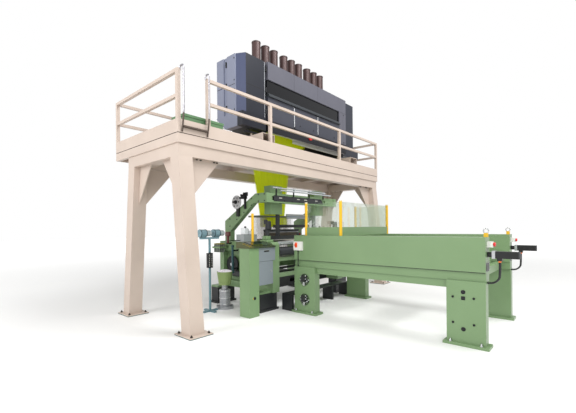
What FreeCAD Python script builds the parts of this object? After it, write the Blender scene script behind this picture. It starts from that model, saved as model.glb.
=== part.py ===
import FreeCAD, Part
import math
import os
import re
import Sketcher

# Power loom with an overhead thread-lifting head, its gantry, operator console,
# weft feeders and the long cloth take-off bench in front of it.
#
# Frame: +X along the weft (the loom's width), +Y with the cloth's travel reversed,
# so that the take-off bench lies towards -Y, +Z up.  The origin is on the floor
# under the middle of the whole installation.  Sizes are written about the
# gantry's own centre, and every object is shifted along Y to the row's origin.

doc = FreeCAD.newDocument("PowerLoom")
sheet = doc.addObject("Spreadsheet::Sheet", "dims")
nodes = []
rows_used = 0


def cells(**sizes):
    """Write driving dimensions to the sheet, one aliased row each (millimetres, degrees)."""
    global rows_used
    for alias, value in sizes.items():
        rows_used += 1
        sheet.set("A%d" % rows_used, alias)
        sheet.set("B%d" % rows_used, str(value))
        sheet.setAlias("B%d" % rows_used, alias)


def sized(expression):
    """Turn the aliases in an expression into references to the sheet."""
    return re.sub(r"[A-Za-z_]\w*", lambda word: "dims." + word.group(0), str(expression))


def bind(thing, prop, expression):
    thing.setExpression(prop, sized(expression))


def place(thing, x, y, z):
    """Bind an object's place, with the shift from the gantry's centre to the row's origin."""
    bind(thing, "Placement.Base.x", x)
    bind(thing, "Placement.Base.y", "%s + %s" % (y, ROW_SHIFT))
    bind(thing, "Placement.Base.z", z)


def block(x, y, z):
    """A box; x, y and z are (low, high) pairs of expressions."""
    box = doc.addObject("Part::Box", "Block")
    bind(box, "Length", "(%s) - (%s)" % (x[1], x[0]))
    bind(box, "Width", "(%s) - (%s)" % (y[1], y[0]))
    bind(box, "Height", "(%s) - (%s)" % (z[1], z[0]))
    place(box, x[0], y[0], z[0])
    return box


TURNS = {"x": FreeCAD.Rotation(FreeCAD.Vector(0, 1, 0), 90),
         "y": FreeCAD.Rotation(FreeCAD.Vector(1, 0, 0), -90),
         "z": FreeCAD.Rotation()}


def rod(axis, start, end, radius):
    """A cylinder from the point start along axis to the coordinate end."""
    cylinder = doc.addObject("Part::Cylinder", "Rod")
    along = {"x": 0, "y": 1, "z": 2}[axis]
    bind(cylinder, "Radius", radius)
    bind(cylinder, "Height", "(%s) - (%s)" % (end, start[along]))
    cylinder.Placement = FreeCAD.Placement(FreeCAD.Vector(), TURNS[axis])
    place(cylinder, *start)
    return cylinder


def cone(start, end, radius_low, radius_high):
    """An upright cone from the point start up to the height end."""
    frustum = doc.addObject("Part::Cone", "Taper")
    bind(frustum, "Radius1", radius_low)
    bind(frustum, "Radius2", radius_high)
    bind(frustum, "Height", "(%s) - (%s)" % (end, start[2]))
    place(frustum, *start)
    return frustum


def prism(plane, points, low, high):
    """A padded sketch: plane is YZ, XZ or XY, points are expression pairs in it,
    and low and high are its extent along the third axis."""
    body = doc.addObject("PartDesign::Body", "Profile")
    sketch = body.newObject("Sketcher::SketchObject", "Outline")
    role = plane + "_Plane"
    base = [part for part in body.Origin.OriginFeatures if part.Role == role][0]
    sketch.AttachmentSupport = [(base, "")]
    sketch.MapMode = "FlatFace"
    spots = [FreeCAD.Vector(1000 * (i % 2) + i, 1000 * (i // 2), 0) for i in range(len(points))]
    for i, spot in enumerate(spots):
        sketch.addGeometry(Part.LineSegment(spot, spots[(i + 1) % len(spots)]))
    for i in range(len(points)):
        sketch.addConstraint(Sketcher.Constraint("Coincident", i, 2, (i + 1) % len(points), 1))
    for i, (across, up) in enumerate(points):
        for kind, value in (("DistanceX", across), ("DistanceY", up)):
            at = sketch.addConstraint(Sketcher.Constraint(kind, -1, 1, i, 1, 1.0))
            bind(sketch, "Constraints[%d]" % at, value)
    pad = body.newObject("PartDesign::Pad", "Pad")
    pad.Profile = sketch
    bind(pad, "Length", "(%s) - (%s)" % (high, low))
    shift = {"YZ": (low, "0", "0"), "XZ": ("0", high, "0"), "XY": ("0", "0", low)}[plane]
    place(body, *shift)
    return body


def cut(base, tool):
    """The base with the tool taken out of it."""
    result = doc.addObject("Part::Cut", "Cut")
    result.Base = base
    result.Tool = tool
    return result


def fuse(*shapes):
    """Several shapes joined into one solid."""
    result = doc.addObject("Part::MultiFuse", "Fuse")
    result.Shapes = list(shapes)
    result.Refine = True
    return result


def group(*shapes):
    """Separate solids that make one node."""
    result = doc.addObject("Part::Compound", "Group")
    result.Links = list(shapes)
    return result


def mirrored(shape):
    """The shape's mirror image across the loom's centre plane."""
    result = doc.addObject("Part::Mirroring", "Mirror")
    result.Source = shape
    result.Normal = FreeCAD.Vector(1, 0, 0)
    return result


def sheet_size(alias):
    """A driving dimension's value, for the few shapes that are set by code."""
    return float(sheet.getContents(sheet.getCellFromAlias(alias)))


def coded(shape):
    """A feature whose shape is set by code, moved to the row's origin."""
    feature = doc.addObject("Part::Feature", "Coded")
    feature.Shape = shape
    bind(feature, "Placement.Base.y", ROW_SHIFT)
    return feature


def node(label, shape):
    """Name a finished sub-part; the label is also its file's name."""
    shape.Label = label
    nodes.append(shape)
    return shape


# ---- Gantry: two welded portals, long beams, deck, edge boards and railings ----
cells(half_span=3390, leg_width=260, leg_depth=250, leg_foot_out=1200, leg_top_out=905,
      leg_height=2885, foot_plate_x=420, foot_plate_y=460, foot_thick=25, foot_out=65,
      anchor_x=320, anchor_y=360, anchor_hole=13, wall=12, gusset_thick=20, gusset_wide=620,
      gusset_tall=720, gusset_deep=440, beam_top=3090, beam_wide=200, deck_half=3415,
      deck_front=930, deck_back=1420, deck_floor=3200, deck_sheet=10, edge_top=3468,
      edge_wide=60, well_x0=-700, well_x1=560, well_y0=-60, well_y1=560,
      bench_end=4770, motor_neck=60, motor_flange=40, motor_long=280)
ROW_SHIFT = "(bench_end + motor_neck + motor_flange + motor_long - deck_back) / 2"

leg_outline = [("-leg_foot_out", "foot_thick"), ("-leg_foot_out + leg_depth", "foot_thick"),
               ("-leg_top_out + leg_depth", "leg_height"), ("-leg_top_out", "leg_height")]
leg_bore = [("-leg_foot_out + wall", "foot_thick - 1"),
            ("-leg_foot_out + leg_depth - wall", "foot_thick - 1"),
            ("-leg_top_out + leg_depth - wall", "leg_height + 1"),
            ("-leg_top_out + wall", "leg_height + 1")]


def leg(end):
    """One splayed box-section leg with its drilled foot plate and two gussets.
    end is -1 at the front of the gantry and 1 at the back."""
    def swap(points):
        return [(("-1 * (%s)" % across if end > 0 else across), up) for across, up in points]
    tube = cut(prism("YZ", swap(leg_outline), "half_span - leg_width", "half_span"),
               prism("YZ", swap(leg_bore), "half_span - leg_width + wall", "half_span - wall"))
    middle_y = "%d * (leg_foot_out - leg_depth / 2)" % end
    middle_x = "half_span + foot_out - foot_plate_x / 2"
    plate = block((middle_x + " - foot_plate_x / 2", middle_x + " + foot_plate_x / 2"),
                  (middle_y + " - foot_plate_y / 2", middle_y + " + foot_plate_y / 2"),
                  ("0", "foot_thick"))
    holes = [rod("z", (middle_x + " + %d * anchor_x / 2" % i, middle_y + " + %d * anchor_y / 2" % j,
                       "-1"), "foot_thick + 1", "anchor_hole") for i in (-1, 1) for j in (-1, 1)]
    plate = cut(plate, fuse(*holes))
    inner = "half_span - leg_width"
    web = "%d * (leg_top_out - leg_depth / 2) - gusset_thick / 2" % end
    cross_gusset = prism("XZ", [(inner, "leg_height"), (inner + " - gusset_wide", "leg_height"),
                                (inner, "leg_height - gusset_tall")], web,
                         web + " + gusset_thick")
    reach = swap([("-leg_top_out + leg_depth", "leg_height"),
                  ("-leg_top_out + leg_depth + gusset_deep", "leg_height"),
                  ("-leg_top_out + leg_depth - (leg_foot_out - leg_top_out) * gusset_tall"
                   " / (leg_height - foot_thick)", "leg_height - gusset_tall")])
    long_gusset = prism("YZ", reach, "half_span - leg_width / 2",
                        "half_span - leg_width / 2 + gusset_thick")
    return [plate, tube, cross_gusset, long_gusset]


def end_beam():
    """The hollow beam that ties the two leg tops of one portal."""
    outer = block(("half_span - leg_width", "half_span"), ("-leg_top_out", "leg_top_out"),
                  ("leg_height", "beam_top"))
    hollow = block(("half_span - leg_width + wall", "half_span - wall"),
                   ("-leg_top_out + wall", "leg_top_out - wall"),
                   ("leg_height + wall", "beam_top - wall"))
    return cut(outer, hollow)


portal = leg(-1) + leg(1) + [end_beam()]
node("portal_right", group(*portal))
node("portal_left", group(*[mirrored(piece) for piece in portal]))


def long_beam(low, high):
    """A hollow beam along the weft between the two portals."""
    reach = "half_span - leg_width"
    return cut(block(("-1 * (%s)" % reach, reach), (low, high), ("leg_height", "beam_top")),
               block(("-1 * (%s) - 1" % reach, reach + " + 1"), (low + " + wall", high + " - wall"),
                     ("leg_height + wall", "beam_top - wall")))


long_beams = [long_beam("-leg_top_out", "-leg_top_out + beam_wide"),
              long_beam("leg_top_out - beam_wide", "leg_top_out")]

# The deck is laid as plates round the well that the lifting cords pass down through.
inside = "deck_half - edge_wide"
floor_z = ("deck_floor - deck_sheet", "deck_floor")
front_in = "-deck_front + edge_wide"
back_in = "deck_back - edge_wide"
deck_plates = [block(("-1 * (%s)" % inside, "well_x0"), (front_in, back_in), floor_z),
               block(("well_x1", inside), (front_in, back_in), floor_z),
               block(("well_x0", "well_x1"), (front_in, "well_y0"), floor_z),
               block(("well_x0", "well_x1"), ("well_y1", back_in), floor_z)]
cells(joist_wide=60, joist_gap=900)
joist_z = ("beam_top", "deck_floor - deck_sheet")
joist_y = (front_in, back_in)
joists = [block(("%s - joist_wide / 2" % x, "%s + joist_wide / 2" % x), joist_y, joist_z)
          for x in ("-3 * joist_gap", "-2 * joist_gap", "-1 * joist_gap",
                    "joist_gap", "2 * joist_gap", "3 * joist_gap")]
node("deck", group(*long_beams, *deck_plates, *joists))

# Folded channel edge with the toe board above it, and a shallow groove between the two.
cells(groove=8, groove_low=3240, groove_high=3250)


def edge_board(x, y, groove_x, groove_y):
    return cut(block(x, y, ("beam_top", "edge_top")),
               block(groove_x, groove_y, ("groove_low", "groove_high")))


full_x = ("-deck_half", "deck_half")
between_y = (front_in, back_in)
edges = [edge_board(full_x, ("-deck_front", front_in), ("-deck_half - 1", "deck_half + 1"),
                    ("-deck_front - 1", "-deck_front + groove")),
         edge_board(full_x, (back_in, "deck_back"), ("-deck_half - 1", "deck_half + 1"),
                    ("deck_back - groove", "deck_back + 1")),
         edge_board((inside, "deck_half"), between_y, ("deck_half - groove", "deck_half + 1"),
                    ("-deck_front - 1", "deck_back + 1"))]
node("edge_boards", group(*edges, mirrored(edges[2])))

# Railings of square tube: posts stand in the edge boards' top, rails butt between them.
cells(tube=60, mid_rail=3872, top_rail=4279, rail_tall=54, gate_post=-2810,
      front_post_a=-1270, front_post_b=1330, back_post=1150)


def post(x, y):
    """A post standing on the edge board, up to the underside of the top rail."""
    return block((x + " - tube / 2", x + " + tube / 2"), (y + " - tube / 2", y + " + tube / 2"),
                 ("edge_top", "top_rail - rail_tall"))


def rail_x(low, high, y, top):
    return block((low, high), (y + " - rail_tall / 2", y + " + rail_tall / 2"),
                 (top + " - rail_tall", top))


edge_mid = "edge_wide / 2"
front_y = "-deck_front + " + edge_mid
back_y = "deck_back - " + edge_mid
end_x = "deck_half - " + edge_mid
front_spots = ["gate_post", "front_post_a", "front_post_b"]
front_posts = [post(x, front_y) for x in front_spots]
front_rails = [rail_x("gate_post - tube / 2", "deck_half", front_y, "top_rail")]
stops = front_spots + [end_x]
for low, high in zip(stops, stops[1:]):
    front_rails.append(rail_x(low + " + tube / 2", high + " - tube / 2", front_y, "mid_rail"))

side_parts = [post(end_x, front_y), post(end_x, back_y),
              block((end_x + " - rail_tall / 2", end_x + " + rail_tall / 2"),
                    (front_y + " + tube / 2", back_y + " - tube / 2"),
                    ("mid_rail - rail_tall", "mid_rail"))]
side_top = block(("deck_half - edge_wide", "deck_half"), (front_y + " + rail_tall / 2",
                 back_y + " - rail_tall / 2"), ("top_rail - rail_tall", "top_rail"))
left_top = block(("-deck_half", "-deck_half + edge_wide"), ("-deck_front",
                 back_y + " - rail_tall / 2"), ("top_rail - rail_tall", "top_rail"))
side_parts += [mirrored(piece) for piece in side_parts] + [side_top, left_top]
back_posts = [post(x, back_y) for x in ("-back_post", "back_post")]
back_stops = ["-deck_half + " + edge_mid, "-back_post", "back_post", end_x]
back_rails = [rail_x("-deck_half", "deck_half", back_y, "top_rail")]
for low, high in zip(back_stops, back_stops[1:]):
    back_rails.append(rail_x(low + " + tube / 2", high + " - tube / 2", back_y, "mid_rail"))
node("railing_back", group(*back_posts, *back_rails, *side_parts))

# Hook-on ladder top in the front gateway: two bent grab rails and a dark step frame.
cells(grab_radius=14, grab_left=-3341, grab_right=-2854, grab_out=70, grab_top=4330,
      grab_low=3560, hook_low=3262, step_tall=24, step_wide=60, step_z=3335)


def bent_tube(points, radius):
    """A tube of straight runs joined by tangent arcs, as large as the runs allow."""
    spots = [FreeCAD.Vector(*point) for point in points]
    edges = []
    at = spots[0]
    bends = []
    for before, corner, after in zip(spots, spots[1:], spots[2:]):
        into, out = corner - before, after - corner
        turn = into.getAngle(out)
        back = 0.45 * min(into.Length, out.Length)
        bends.append(back / math.tan(turn / 2))
        into.normalize()
        out.normalize()
        start, end = corner - into * back, corner + out * back
        inward = out - into
        inward.normalize()
        centre = corner + inward * (bends[-1] / math.cos(turn / 2))
        middle = centre - inward * bends[-1]
        edges += [Part.LineSegment(at, start).toShape(), Part.Arc(start, middle, end).toShape()]
        at = end
    edges.append(Part.LineSegment(at, spots[-1]).toShape())
    path = Part.Wire(edges)
    section = Part.Wire([Part.Circle(spots[0], spots[1] - spots[0], radius).toShape()])
    tube_shape = path.makePipeShell([section], True, False)
    expected = math.pi * radius ** 2 * path.Length
    print("bend radii", [round(bend) for bend in bends], "length", round(path.Length),
          "volume ratio", round(tube_shape.Volume / expected, 4))
    return tube_shape


def grab_rail(x):
    """A bent tube: slanted hook on the edge board, upright grip, and a crook beside the post."""
    radius, out = sheet_size("grab_radius"), sheet_size("grab_out")
    face, top = -sheet_size("deck_front"), sheet_size("grab_top")
    points = [(x, face - radius, sheet_size("hook_low")), (x, face - out, sheet_size("grab_low")),
              (x, face - out, top), (x, face + 2 * radius, top), (x, face + 2 * radius, top - out)]
    return bent_tube(points, radius)


step = block(("grab_left + grab_radius", "grab_right - grab_radius"),
             ("-deck_front - step_wide", "-deck_front"), ("step_z", "step_z + step_tall"))
grab_rails = [coded(grab_rail(sheet_size(alias))) for alias in ("grab_left", "grab_right")]
node("railing_front", group(*front_posts, *front_rails, *grab_rails, step))

# Long low equipment box that stands on the deck behind the gateway.
cells(trunk_x0=-3250, trunk_x1=-2450, trunk_y0=-850, trunk_y1=-490, trunk_tall=400, lid=40)
trunk_x = ("trunk_x0", "trunk_x1")
node("deck_box", fuse(block(trunk_x, ("trunk_y0", "trunk_y1"),
                            ("deck_floor", "deck_floor + trunk_tall - lid")),
                      block(("trunk_x0 - 10", "trunk_x1 + 10"), ("trunk_y0 - 10", "trunk_y1 + 10"),
                            ("deck_floor + trunk_tall - lid", "deck_floor + trunk_tall"))))

# ---- Thread-lifting head on its sills ----
cells(sill_wide=350, sill_left=-1450, sill_right=1960, sill_front=-860, sill_back=880,
      sill_top=3650, sill_wall=10, jack_radius=22, jack_front=-330, jack_back=600,
      head_x0=-920, head_x1=2310, head_y0=-400, head_y1=750, head_z0=3760, head_top=5400,
      head_wall=30, module_gap=20, module_z0=4010, module_z1=5250, module_count=8)
sills = []
for low in ("sill_left", "sill_right"):
    high = low + " + sill_wide"
    sills.append(cut(block((low, high), ("sill_front", "sill_back"), ("deck_floor", "sill_top")),
                     block((low + " + sill_wall", high + " - sill_wall"),
                           ("sill_front - 1", "sill_back + 1"),
                           ("deck_floor + sill_wall", "sill_top - sill_wall"))))
jacks = []
for x in ("sill_left + sill_wide / 2", "sill_right + sill_wide / 2"):
    for y in ("jack_front", "jack_back"):
        jacks.append(rod("z", (x, y, "sill_top"), "head_z0", "jack_radius"))
node("head_sills", group(*sills, *jacks))

shell = cut(block(("head_x0", "head_x1"), ("head_y0", "head_y1"), ("head_z0", "head_top")),
            block(("head_x0 + head_wall", "head_x1 - head_wall"),
                  ("head_y0 - 1", "head_y1 - head_wall"), ("head_z0 - 1", "head_top - head_wall")))
# Two bearers carry the left end out over the left sill's jack rods.
bearer_x = ("sill_left", "head_x0")
bearers = [block(bearer_x, (y + " - 40", y + " + 40"), ("head_z0", "head_z0 + 40"))
           for y in ("jack_front", "jack_back")]
rails = [block(("head_x0 + head_wall", "head_x1 - head_wall"), (low, low + " + 60"),
               ("module_z0 - 80", "module_z0")) for low in ("head_y0", "head_y1 - head_wall - 60")]
node("head_casing", group(fuse(shell, *bearers), *rails))

pitch = "(head_x1 - head_x0 - 2 * head_wall) / module_count"
modules = [block(("head_x0 + head_wall + %d * %s + module_gap / 2" % (i, pitch),
                  "head_x0 + head_wall + %d * %s - module_gap / 2" % (i + 1, pitch)),
                 ("head_y0", "head_y1 - head_wall"), ("module_z0", "module_z1"))
           for i in range(int(sheet_size("module_count")))]
node("lifting_modules", group(*modules))

cells(front_out=100, fascia_z=5000, window_z=4700, ledge_z=4620, panel_z=4100, skirt_z=3850,
      column_x=1960, slot_wide=50, slot_a=-15, slot_b=940, skin=30, ledge_out=40)
front_y0 = "head_y0 - front_out"
fascia = prism("XZ", [("head_x0", "head_top"), ("head_x0", "fascia_z"), ("column_x", "fascia_z"),
                      ("column_x", "panel_z"), ("head_x1", "panel_z"), ("head_x1", "head_top")],
               front_y0, "head_y0")
node("head_fascia", fascia)
window = block(("head_x0", "column_x"), (front_y0 + " + skin", "head_y0"), ("window_z", "fascia_z"))
ledge = prism("YZ", [("head_y0", "ledge_z"), ("head_y0", "window_z"), (front_y0, "window_z"),
                     (front_y0 + " - ledge_out", "ledge_z + 30"),
                     (front_y0 + " - ledge_out", "ledge_z")], "head_x0", "column_x")
node("head_window", group(window, ledge))
panel_stops = ["head_x0", "slot_a", "slot_b", "column_x"]
panels = [block((low + (" + slot_wide / 2" if i else ""), high + (" - slot_wide / 2" if i < 2
                 else "")), (front_y0, "head_y0"), ("panel_z", "ledge_z"))
          for i, (low, high) in enumerate(zip(panel_stops, panel_stops[1:]))]

cells(cab_x0=-1660, cab_y0=-480, cab_y1=330, chamfer_x=105, chamfer_y=185, cab_z0=4120,
      cab_top=5375, cab_wall=25, strip_wide=90, step_x0=-1700, step_y0=-520, step_cut=30,
      step_back=4100, step_z0=3830, door_gap=3, door_thick=25, door_edge=5, door_y1=-30,
      panel_y0=90, notch=100)
cab_outline = [("cab_x0", "cab_y1"), ("cab_x0", "cab_y0 + chamfer_y"),
               ("cab_x0 + chamfer_x", "cab_y0"), ("head_x0 - strip_wide", "cab_y0"),
               ("head_x0 - strip_wide", "head_y0"), ("head_x0", "head_y0"), ("head_x0", "cab_y1")]
cab_room = block(("cab_x0 - 1", "head_x0 - cab_wall"),
                 ("cab_y0 + chamfer_y + cab_wall", "door_y1 - cab_wall"),
                 ("cab_z0 + cab_wall", "cab_top - cab_wall"))
cabinet = cut(prism("XY", cab_outline, "cab_z0", "cab_top"), cab_room)
lower_box = prism("YZ", [("step_y0", "step_z0"), ("step_cut", "step_z0"), ("cab_y1", "step_back"),
                         ("cab_y1", "cab_z0"), ("step_y0", "cab_z0")], "step_x0", "head_x0")
lower_notch = block(("head_x0 - notch", "head_x0 + 1"), ("step_y0 - 1", front_y0 + " + notch + 1"),
                    ("step_z0 - 1", "cab_z0 + 1"))
door_face = "cab_x0 - door_gap - door_thick"
door_z = ("cab_z0 + door_edge", "cab_top - door_edge")
end_panel = block((door_face, "cab_x0"), ("panel_y0", "cab_y1 - door_edge"), door_z)
node("head_left_cabinet", group(cabinet, cut(lower_box, lower_notch), end_panel))
node("head_left_door", block((door_face, "cab_x0 - 0.3"),
                             ("cab_y0 + chamfer_y + door_edge", "door_y1"), door_z))

cells(right_x1=2880, right_z0=3870, right_y1=700, end_box_x1=3170, end_box_y1=300,
      end_box_z0=3800, end_box_z1=4100)
node("head_right_cabinet",
     fuse(block(("head_x1", "right_x1"), ("head_y0", "right_y1"), ("right_z0", "head_top")),
          block(("right_x1", "end_box_x1"), ("head_y0", "end_box_y1"),
                ("end_box_z0", "end_box_z1")),
          block(("head_x1", "right_x1"), ("head_y0", "end_box_y1"), ("end_box_z0", "end_box_z1"))))

cells(pipe_radius=105, pipe_wall=4, pipe_top=6130, pipe_y=100, pipe_first=-700, pipe_pitch=300,
      pipe_group=970)
pipes = []
for cluster in range(3):
    for place_in in range(3):
        x = "pipe_first + %d * pipe_group + %d * pipe_pitch" % (cluster, place_in)
        pipes.append(cut(rod("z", (x, "pipe_y", "head_top"), "pipe_top", "pipe_radius"),
                         rod("z", (x, "pipe_y", "head_top + pipe_wall"), "pipe_top + 1",
                             "pipe_radius - pipe_wall")))
node("exhaust_pipes", group(*pipes))

cells(stop_radius=28, stop_stem=12, stop_travel=6, stop_cap=22, stop_depth=24, run_gap=0.05,
      head_stop_x=590, head_stop_z=3985, head_stop_radius=65)


def stop_button(x, y, z, radius):
    """A mushroom button in front of the face at y; its stem runs in the bore behind it."""
    cap_y = "%s - stop_travel - 1" % y
    return fuse(rod("y", (x, cap_y, z), "%s + stop_depth" % y, "stop_stem"),
                rod("y", (x, cap_y + " - stop_cap", z), cap_y, radius))


def stop_bore(x, y, z):
    """The bore that a mushroom button's stem slides in."""
    return rod("y", (x, "%s - 1" % y, z), "%s + stop_depth + stop_travel + 1" % y,
               "stop_stem + run_gap")


head_stop = ("head_stop_x", front_y0, "head_stop_z")
node("head_stop_button", stop_button(*head_stop, "head_stop_radius"))
skirt = cut(block(("head_x0", "head_x1"), (front_y0, "head_y0"), ("skirt_z", "panel_z")),
            stop_bore(*head_stop))
node("head_panels", group(*panels, skirt))

# ---- Lifting cords: a soft sheaf that narrows from the head to the comber board ----
cells(sheaf_top_x0=-640, sheaf_top_x1=900, sheaf_top_y0=-300, sheaf_top_y1=560,
      sheaf_mid_x0=-500, sheaf_mid_x1=360, sheaf_mid_y0=0, sheaf_mid_y1=500, sheaf_mid_z=3260,
      sheaf_low_x0=-350, sheaf_low_x1=250, sheaf_low_y0=90, sheaf_low_y1=410, comber_z=2000,
      comber_thick=40, comber_x0=-700, comber_x1=700, comber_y0=60, comber_y1=440, soft_gap=0.3,
      heddle_x=620, warp_z=1411, warp_thick=2, heddle_low=950, heddle_room=25)


def sheaf(z_low, z_high, low, high):
    """A wedge between two rectangles; low and high are name stems of the cells."""
    wedge = doc.addObject("Part::Wedge", "Sheaf")
    wedge.Placement = FreeCAD.Placement(FreeCAD.Vector(), FreeCAD.Rotation(
        FreeCAD.Vector(1, 0, 0), 90))
    bind(wedge, "Xmin", low + "_x0")
    bind(wedge, "Xmax", low + "_x1")
    bind(wedge, "Zmin", "-%s_y1" % low)
    bind(wedge, "Zmax", "-%s_y0" % low)
    bind(wedge, "X2min", high + "_x0")
    bind(wedge, "X2max", high + "_x1")
    bind(wedge, "Z2min", "-%s_y1" % high)
    bind(wedge, "Z2max", "-%s_y0" % high)
    bind(wedge, "Ymin", "0")
    bind(wedge, "Ymax", "(%s) - (%s)" % (z_high, z_low))
    place(wedge, "0", "0", z_low)
    return wedge


node("lifting_cords", fuse(sheaf("sheaf_mid_z", "module_z0 - soft_gap", "sheaf_mid", "sheaf_top"),
                           sheaf("comber_z + soft_gap", "sheaf_mid_z", "sheaf_low", "sheaf_mid")))
comber = block(("comber_x0", "comber_x1"), ("comber_y0", "comber_y1"),
               ("comber_z - comber_thick", "comber_z"))
heddle_y = ("sheaf_low_y0 + 30", "sheaf_low_y1 - 30")
heddle_x = ("-heddle_x", "heddle_x")
heddles_above = block(heddle_x, heddle_y, ("warp_z + heddle_room", "comber_z - comber_thick"))
heddles_below = block(heddle_x, heddle_y, ("heddle_low", "warp_z - heddle_room"))
node("heddles", group(comber, heddles_above, heddles_below))

# ---- Loom: side frames, arms, beams, rollers, reed and weft carriers ----
cells(frame_in=1100, frame_out=1300, frame_front=-960, frame_back=780, frame_low=360,
      frame_top=1400, frame_bevel=45, recess_rim=140, recess_floor=80, recess_top=1180,
      arm_out=1300, arm_in=1180, arm_back=580,
      arm_low=1640, arm_low_top=1870, arm_knee_low=-400, arm_knee_high=-460, arm_z0=2240,
      arm_z1=2440, arm_front=-800, column_y0=380, bolt_radius=14, bolt_head=10,
      bolt_in=30, beam_y0=-785, beam_y1=-600, slot_z0=2290, slot_z1=2375, slot_deep=30,
      roller_end_gap=0.3, shaft_radius=30)
frame_outline = [("frame_front", "frame_low"), ("frame_front", "frame_top - frame_bevel"),
                 ("frame_front + frame_bevel", "frame_top"), ("frame_back", "frame_top"),
                 ("frame_back", "frame_low")]
casting = prism("YZ", frame_outline, "frame_in", "frame_out")
recess = block(("frame_in + recess_floor", "frame_out + 1"),
               ("frame_front + recess_rim", "frame_back - recess_rim"),
               ("frame_low + recess_rim", "recess_top"))
column = block(("arm_in", "arm_out"), ("column_y0", "arm_back"), ("frame_top", "arm_low"))
arm = prism("YZ", [("arm_back", "arm_low"), ("arm_back", "arm_low_top"),
                   ("arm_knee_high", "arm_z1"), ("arm_front", "arm_z1"), ("arm_front", "arm_z0"),
                   ("arm_knee_low", "arm_z0"), ("column_y0", "arm_low")], "arm_in", "arm_out")
cells(foot_wide=480, foot_tuck=180, shelf_thick=40, foot_deep=240, foot_base=40, foot_lip=30,
      foot_front_y=-900, foot_back_y=480, bolt_count=4)
slope_bolts = []
for i in range(int(sheet_size("bolt_count"))):
    share = "(%d + 0.5) / bolt_count" % i
    along = "arm_knee_high + (arm_back - bolt_in * 2 - arm_knee_high) * " + share
    upper = "arm_z1 - bolt_in - (arm_z1 - arm_low_top) * " + share
    lower = "arm_z0 + bolt_in - (arm_z0 - arm_low) * " + share
    slope_bolts += [rod("x", ("arm_out", along, upper), "arm_out + bolt_head", "bolt_radius"),
                    rod("x", ("arm_out", along, lower), "arm_out + bolt_head", "bolt_radius")]
flat_bolts = [rod("x", ("arm_out", "arm_front + %s" % y, z), "arm_out + bolt_head", "bolt_radius")
              for y in ("bolt_in * 2", "bolt_in * 8") for z in ("arm_z0 + bolt_in",
                                                                "arm_z1 - bolt_in")]
toes = [block(("frame_out", "frame_out - foot_tuck + foot_wide"), (low, low + " + foot_deep"),
              ("frame_low", "frame_low + shelf_thick")) for low in ("foot_front_y", "foot_back_y")]
side = [fuse(cut(casting, recess), column, arm, *toes)] + slope_bolts + flat_bolts
node("side_frame_right", group(*side))

# The selvedge reel turns on a pin in a bracket that stands up from the near arm.
cells(reel_out=75, reel_y=80, reel_z=2280, reel_radius=150, reel_thick=16, reel_pin=14,
      bracket_thick=50, bracket_low=1960)
reel_x = "-arm_out - reel_out"
pin_end = "-arm_out - 5"
node("selvedge_reel", fuse(rod("x", (reel_x, "reel_y", "reel_z"), reel_x + " + reel_thick",
                               "reel_radius"),
                           rod("x", (reel_x + " - 20", "reel_y", "reel_z"), pin_end, "reel_pin")))
bracket = cut(block(("-arm_out - bracket_thick", "-arm_out"),
                    ("reel_y - 40", "reel_y + 40"), ("bracket_low", "reel_z + 50")),
              rod("x", ("-arm_out - bracket_thick - 1", "reel_y", "reel_z"), "-arm_out + 1",
                  "reel_pin + run_gap"))
node("side_frame_left", group(*[mirrored(piece) for piece in side], bracket))

feet = []
for low in ("foot_front_y", "foot_back_y"):
    x = ("frame_out - foot_tuck", "frame_out - foot_tuck + foot_wide")
    y = (low, low + " + foot_deep")
    feet.append(fuse(block((x[0] + " - foot_lip", x[1] + " + foot_lip"),
                           (y[0] + " - foot_lip", y[1] + " + foot_lip"), ("0", "foot_base")),
                     block(x, y, ("foot_base", "frame_low"))))
node("loom_feet", group(*feet, *[mirrored(foot) for foot in feet]))

top_beam = block(("-arm_in", "arm_in"), ("beam_y0", "beam_y1"), ("arm_z0", "arm_z1"))
beam_slot = block(("-arm_in + 60", "arm_in - 360"), ("beam_y0 - 1", "beam_y0 + slot_deep"),
                  ("slot_z0", "slot_z1"))

cells(head_in=600, head_wide=370, head_deep=200, head_low=2000, head_high=2630,
      pocket_wide=230, pocket_in=60, strut_wide=70, strut_low=1520)
bracket_x = ("head_in", "head_in + head_wide")
bracket = block(bracket_x, ("beam_y1", "beam_y1 + head_deep"), ("head_low", "head_high"))
pocket = block(("head_in + pocket_in", "head_in + pocket_in + pocket_wide"),
               ("beam_y1 + pocket_in", "beam_y1 + head_deep + 1"),
               ("head_low + pocket_in", "head_high - pocket_in"))
hanger = block(("head_in + 40", "head_in + 40 + strut_wide"),
               ("beam_y1 + 40", "beam_y1 + 40 + strut_wide"), ("strut_low", "head_low"))
crosshead = cut(bracket, pocket)
node("top_beam", group(cut(top_beam, beam_slot), crosshead, mirrored(crosshead)))

cells(temple_z0=1440, temple_y0=-600, temple_y1=-480, rail_a_z=980, rail_b_z=640, rail_high=80,
      rail_y0=-850, rail_y1=-760, rail_back_y=560,
      tray_thick=60)
temple = block(("-frame_in", "frame_in"), ("temple_y0", "temple_y1"), ("temple_z0", "strut_low"))
node("temple_bar", group(temple, hanger, mirrored(hanger)))
span = ("-frame_in", "frame_in")
cross = [block(span, ("rail_y0", "rail_y1"), (z, z + " + rail_high"))
         for z in ("rail_a_z", "rail_b_z")]
cross.append(block(span, ("rail_back_y", "rail_back_y + 90"), ("rail_b_z", "rail_b_z + 160")))
cross.append(block(span, heddle_y, ("heddle_low - tray_thick", "heddle_low")))
node("cross_rails", group(*cross))

cells(breast_radius=40, breast_y=-900, cloth_radius=95, cloth_y=-850, cloth_z=1190,
      back_radius=60, back_y=690,
      sley_y=-40, sley_z=700, reed_x=640, reed_high=1620, reed_thick=12,
      sley_beam=60, sword_wide=60, sword_x=520)
breast_z = "warp_z - breast_radius"
node("breast_tube", rod("x", ("-frame_in", "breast_y", breast_z), "frame_in", "breast_radius"))


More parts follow.
